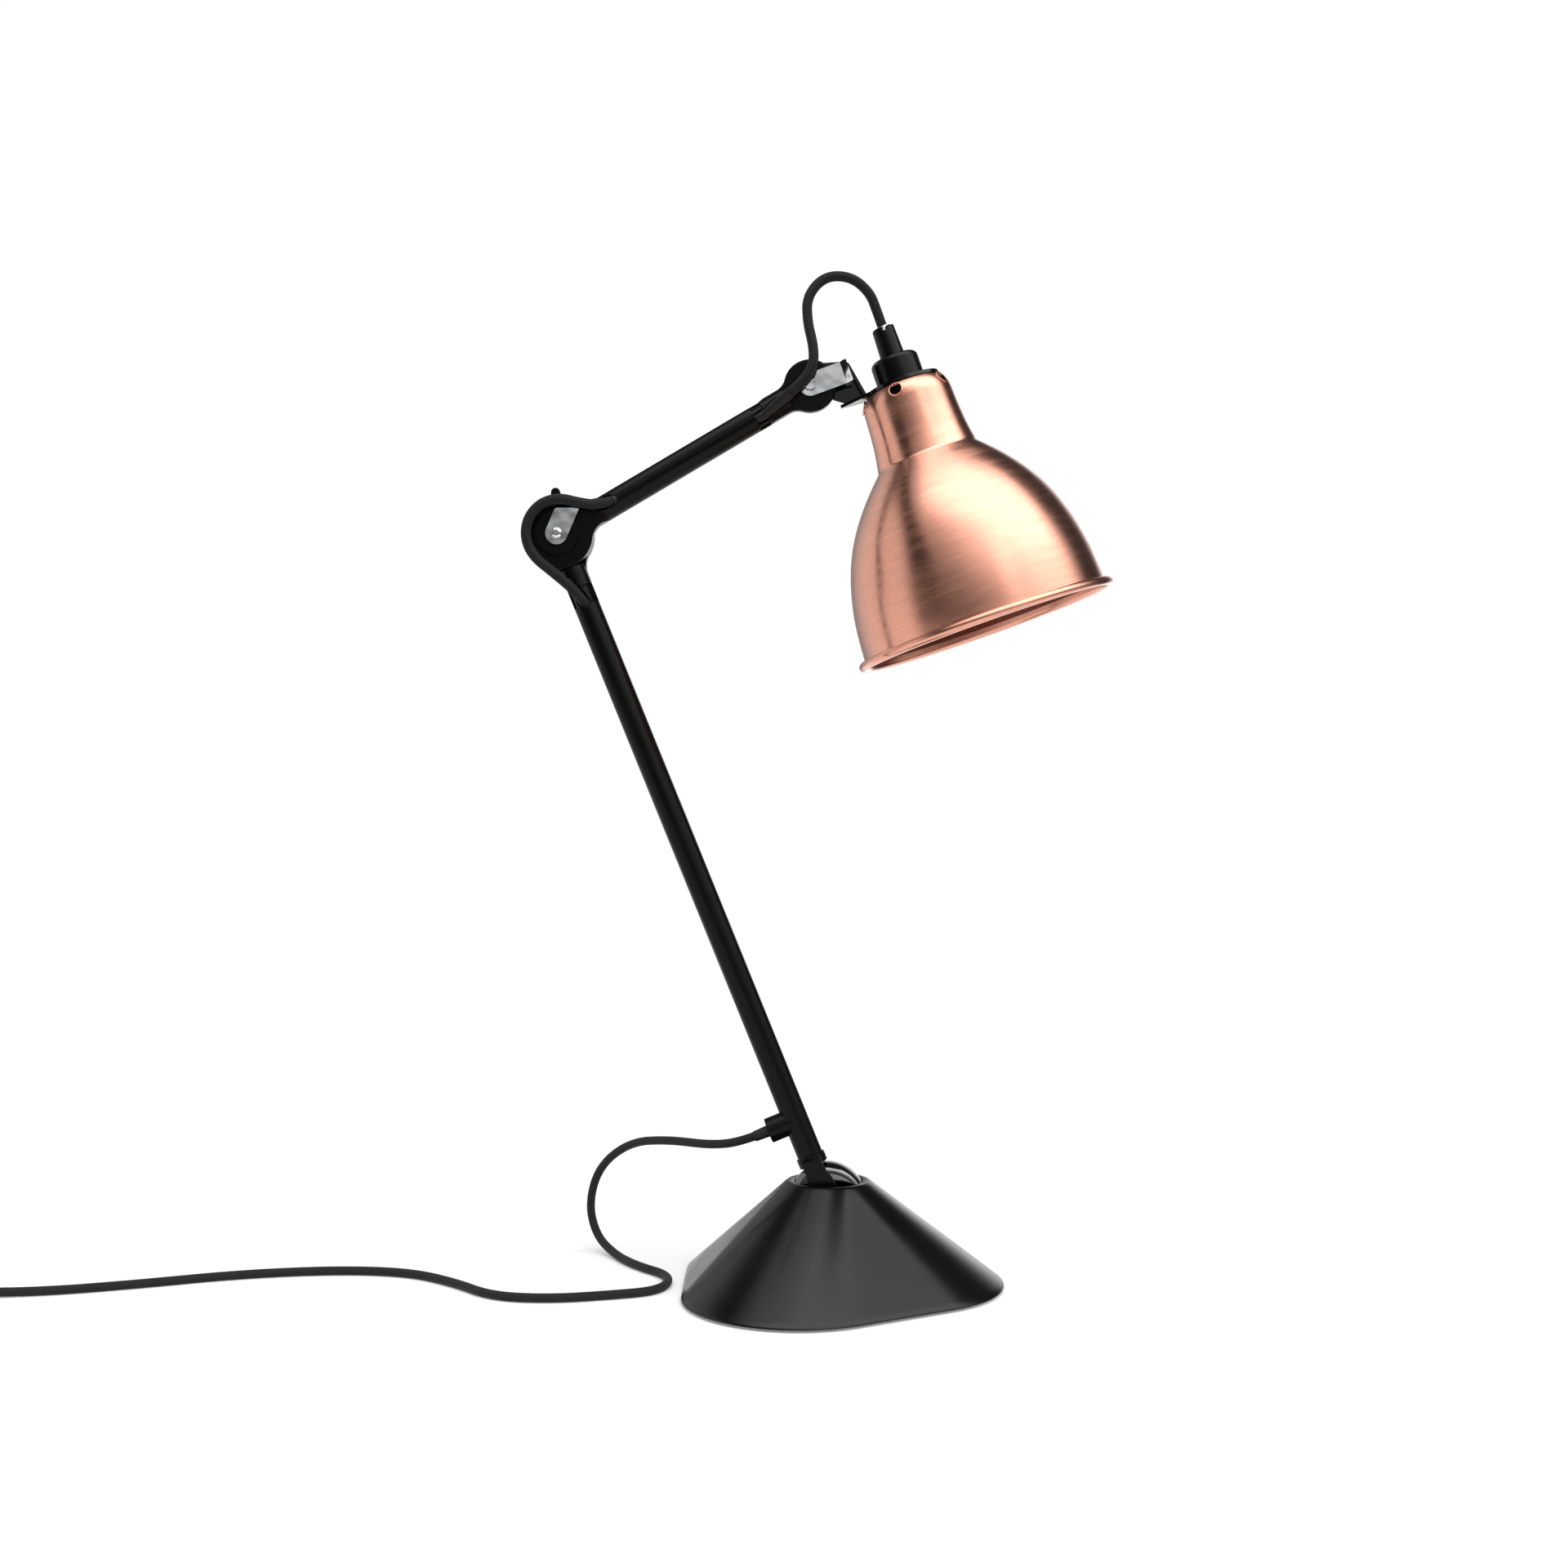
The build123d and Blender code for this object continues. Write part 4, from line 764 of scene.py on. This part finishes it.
# %% Base skin
places, ways = walk_round()
foot = [(0.0, 20.3, 1.2), (31.4, 58.2, 1.2), (31.8, 59.1, 1.25), (32.0, 59.45, 1.6), (32.0, 59.3, 2.1)]
slope = [(32.0 - 31.5 * s, 59.0 - 36.4 * s, 2.6 + 51.4 * s) for s in np.linspace(0.0, 1.0, 26)]
lip_outside = [(0.4, 22.05, 54.5), (0.35, 21.4, 54.95), (0.3, 20.7, 55.15), (0.3, 20.0, 55.2)]
lip_inside = [(0.0, 18.8, 55.2), (0.0, 18.2, 55.05), (0.0, 17.85, 54.7), (0.0, 17.75, 54.2)]
bore_wall = [(0.0, 18.35, 53.5), (0.0, 19.35, 50.9), (0.0, 20.0, 48.3), (0.0, 20.3, 44.8)]
rows = foot + slope + lip_outside + lip_inside + bore_wall
skin = np.stack(
    [size * places + radius * ways + np.array([0.0, 0.0, height]) for size, radius, height in rows]
)
faces = grid_faces(len(rows), len(places), close_rows=True)
base_piece = put_mesh("base_skin", skin.reshape(-1, 3), faces, base_coat)
base_piece.data.set_sharp_from_angle(angle=sharp_from)
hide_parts("base_casting")
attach(base_piece, "base")

# %% [markdown]
# ## Ball
# The ball is turned round the Y axis, which runs away from the viewer. It is a sphere with both sides
# cut flat, and the cut has a wide round edge that curves the reflections. The profile is made for one
# half and mirrored for the other.

# %% Ball
ball_radius, flat_depth = 20.0, 9.3
side_angle = np.radians(np.linspace(0, 24.0, 14))
half = np.stack([ball_radius * np.cos(side_angle), ball_radius * np.sin(side_angle)], -1)
edge = natural_spline([half[-1], (17.5, 8.75), (16.2, 9.12), (14.0, 9.27), (11.0, flat_depth)], 16)
half = np.concatenate([half, edge[1:], [(8.0, flat_depth), (4.0, flat_depth), (0.01, flat_depth)]])
ball_profile = np.concatenate([half[::-1] * [1, -1], half[1:]])
ball_piece = turned(
    "ball_polished",
    ball_profile,
    ball_centre,
    np.array([1.0, 0.0, 0.0]),
    np.array([0.0, 1.0, 0.0]),
    dark_plating,
    steps=120,
    close=False,
)
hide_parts("swivel_ball")
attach(ball_piece, "ball")

# %% [markdown]
# ## Finishes on the parts of the model
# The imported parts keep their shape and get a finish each, by the slot that their record names. The lamp
# is warm white frosted glass, and everything else is one of the finishes above.

# %% Lamp glass
glass, glass_nodes, glass_links, glass_shader = new_finish("satin_lamp_glass", (0.93, 0.91, 0.86), 0.22)
glass_shader.inputs["Transmission Weight"].default_value = 0.35
glass_shader.inputs["Subsurface Weight"].default_value = 0.2
glass_shader.inputs["Subsurface Radius"].default_value = (0.004, 0.004, 0.003)
glass_place = glass_nodes.new("ShaderNodeTexCoord").outputs["Object"]
frosting = add_noise(glass_nodes, glass_links, glass_place, 1400.0)
add_bump(glass_nodes, glass_links, glass_shader, frosting, 0.003)

# %% A finish for every node
finish_of_slot = {
    "base_paint": base_coat,
    "base_felt": plastic_coat,
    "spring_steel": spring_steel,
    "gloss_paint": gloss_coat,
    "satin_paint": satin_coat,
    "black_plastic": plastic_coat,
    "cap_plastic": holder_coat,
    "washer_plastic": plastic_coat,
    "polished_metal": chrome,
    "shade_copper": copper,
    "lamp_glass": glass,
    "cord_braid": plastic_coat,
    "tie_plastic": plastic_coat,
}
for part in frame["record"]["subparts"]:
    node = frame["nodes"][part["node"]]
    node.data.materials.clear()
    node.data.materials.append(finish_of_slot[part["material_slot"]])

# %% [markdown]
# ## Studio
# Black paint and brushed copper show their shape only by what they mirror, so the room matters more than
# any single lamp. It has one bright sheet overhead that comes lower in front than behind, a panel in front
# that grows brighter upwards and to the right, a panel at the left that fades towards the back, two more
# behind, and dark gaps between them. The brightness at a direction is a sum of products of soft steps in
# two angles: the azimuth, which is zero towards the camera and grows to the right, and the elevation. The
# panels were fitted to the reflections in the picture. The background is white to the camera and through
# glass, while reflections see the panels.


# %% Room
def seen_directly(nodes, links, with_reflections):
    """One for rays from the camera and for light through glass, if wished also for reflections."""
    path = nodes.new("ShaderNodeLightPath")
    camera_ray, glass_ray = path.outputs["Is Camera Ray"], path.outputs["Is Transmission Ray"]
    seen = add_math(nodes, links, "MAXIMUM", camera_ray, glass_ray)
    if with_reflections:
        seen = add_math(nodes, links, "MAXIMUM", seen, path.outputs["Is Glossy Ray"])
    return seen


def soft_step(nodes, links, value, start, end, height):
    """Zero before the start and the full height after the end, with a smooth rise; an end below the
    start turns it round."""
    step = nodes.new("ShaderNodeMapRange")
    step.interpolation_type = "SMOOTHSTEP"
    step.inputs["From Min"].default_value = start
    step.inputs["From Max"].default_value = end
    step.inputs["To Min"].default_value = 0.0
    step.inputs["To Max"].default_value = height
    links.new(value, step.inputs["Value"])
    return step.outputs["Result"]


def room_light():
    """The brightness is sheet * its own level + (1 - sheet) * (front + left + back + a little). Each is a
    product of soft steps over degrees. The edges where front and left panel face each other lean: they
    follow azimuth + slant * elevation cubed."""
    world = bpy.data.worlds.new("room")
    world.use_nodes = True
    nodes, links = world.node_tree.nodes, world.node_tree.links
    split = nodes.new("ShaderNodeSeparateXYZ")
    links.new(nodes.new("ShaderNodeTexCoord").outputs["Generated"], split.inputs["Vector"])

    def times(a, b):
        return add_math(nodes, links, "MULTIPLY", a, b)

    def plus(a, b):
        return add_math(nodes, links, "ADD", a, b)

    def step(value, start, end, height=1.0):
        return soft_step(nodes, links, value, start, end, height)

    towards = times(split.outputs["Y"], -1.0)
    azimuth = times(add_math(nodes, links, "ARCTAN2", split.outputs["X"], towards), 180 / math.pi)
    elevation = times(add_math(nodes, links, "ARCSINE", split.outputs["Z"]), 180 / math.pi)
    height = add_math(nodes, links, "MAXIMUM", elevation, 0.0)
    slant = 0.00038
    slanted = plus(azimuth, times(add_math(nodes, links, "POWER", height, 3.0), slant))
    aside = add_math(nodes, links, "ABSOLUTE", plus(azimuth, -15.0))
    behind = add_math(nodes, links, "ABSOLUTE", azimuth)

    sheet_edge = plus(elevation, step(aside, 75.0, 115.0, -15.0))
    sheet_edge = plus(sheet_edge, step(behind, 118.0, 140.0, -14.0))
    sheet = step(sheet_edge, 42.0, 58.0)
    front = times(step(slanted, -48.0, -36.0), step(azimuth, 112.0, 80.0))
    front = times(front, step(elevation, -6.0, 55.0))
    front = times(front, plus(step(azimuth, -50.0, 60.0, 3.0), 0.7))
    left = times(step(slanted, -60.0, -76.0), step(azimuth, -185.0, -118.0))
    left = times(left, step(elevation, 50.0, 30.0, 0.86))
    right_back = times(step(azimuth, 138.0, 162.0, 1.5), step(azimuth, 190.0, 165.0))
    back = times(plus(right_back, step(azimuth, -160.0, -185.0, 0.5)), step(elevation, 34.0, 14.0))
    low = plus(plus(plus(front, left), back), 0.05)
    gap = add_math(nodes, links, "SUBTRACT", 1.0, sheet)
    bright_sheet = times(sheet, plus(step(aside, 110.0, 50.0, 1.3), 2.0))
    room = plus(bright_sheet, times(gap, low))
    seen = seen_directly(nodes, links, False)
    unseen = add_math(nodes, links, "SUBTRACT", 1.0, seen)
    background = nodes["Background"]
    links.new(plus(seen, times(room, unseen)), background.inputs["Strength"])
    background.inputs["Color"].default_value = (1.0, 1.0, 1.0, 1.0)
    return world


bpy.context.scene.world = room_light()
bpy.context.scene.view_settings.view_transform = "Standard"


# %% Floor
floor_white, floor_glow = 0.72, 0.2
floor_radius, floor_columns = 1400.0, 96
floor_shares = (0.002, 0.1, 0.3, 1.0)


def floor_finish():
    """White floor: it takes shadows as any matt surface, and glows a little where it is seen."""
    finish = bpy.data.materials.new("studio_floor")
    finish.use_nodes = True
    nodes, links = finish.node_tree.nodes, finish.node_tree.links
    nodes.clear()
    matt = nodes.new("ShaderNodeBsdfDiffuse")
    matt.inputs["Color"].default_value = (floor_white, floor_white, floor_white, 1.0)
    glow = nodes.new("ShaderNodeEmission")
    seen = seen_directly(nodes, links, True)
    links.new(add_math(nodes, links, "MULTIPLY", seen, floor_glow), glow.inputs["Strength"])
    both = nodes.new("ShaderNodeAddShader")
    links.new(matt.outputs["BSDF"], both.inputs[0])
    links.new(glow.outputs["Emission"], both.inputs[1])
    links.new(both.outputs["Shader"], nodes.new("ShaderNodeOutputMaterial").inputs["Surface"])
    return finish


angle = 2 * np.pi * np.arange(floor_columns) / floor_columns
ring = np.stack([np.cos(angle), np.sin(angle), 0 * angle], -1)
floor_rings = np.stack([ring * floor_radius * share for share in floor_shares])
floor_faces = grid_faces(len(floor_shares), floor_columns)
floor = put_mesh("floor", floor_rings.reshape(-1, 3), floor_faces, floor_finish())

# %% [markdown]
# One rectangular lamp stands in front, above and to the right of the camera, and adds a little light
# from that side.


# %% Lamp
def soft_lamp(name, place, target, size, brightness):
    """A rectangular lamp that faces a target. Its power is brightness * pi * its area."""
    data = bpy.data.lights.new(name, "AREA")
    data.shape = "RECTANGLE"
    data.size, data.size_y = size
    data.energy = brightness * math.pi * size[0] * size[1]
    lamp = bpy.data.objects.new(name, data)
    bpy.context.scene.collection.objects.link(lamp)
    lamp.location = place
    lamp.rotation_euler = (Vector(place) - Vector(target)).to_track_quat("Z", "Y").to_euler()
    lamp.visible_camera = False
    print(name, "power", round(data.energy, 1), "W")


soft_lamp("front_lamp", (0.62, -1.45, 1.10), (0.0, 0.0, 0.06), (0.5, 0.6), 0.6)
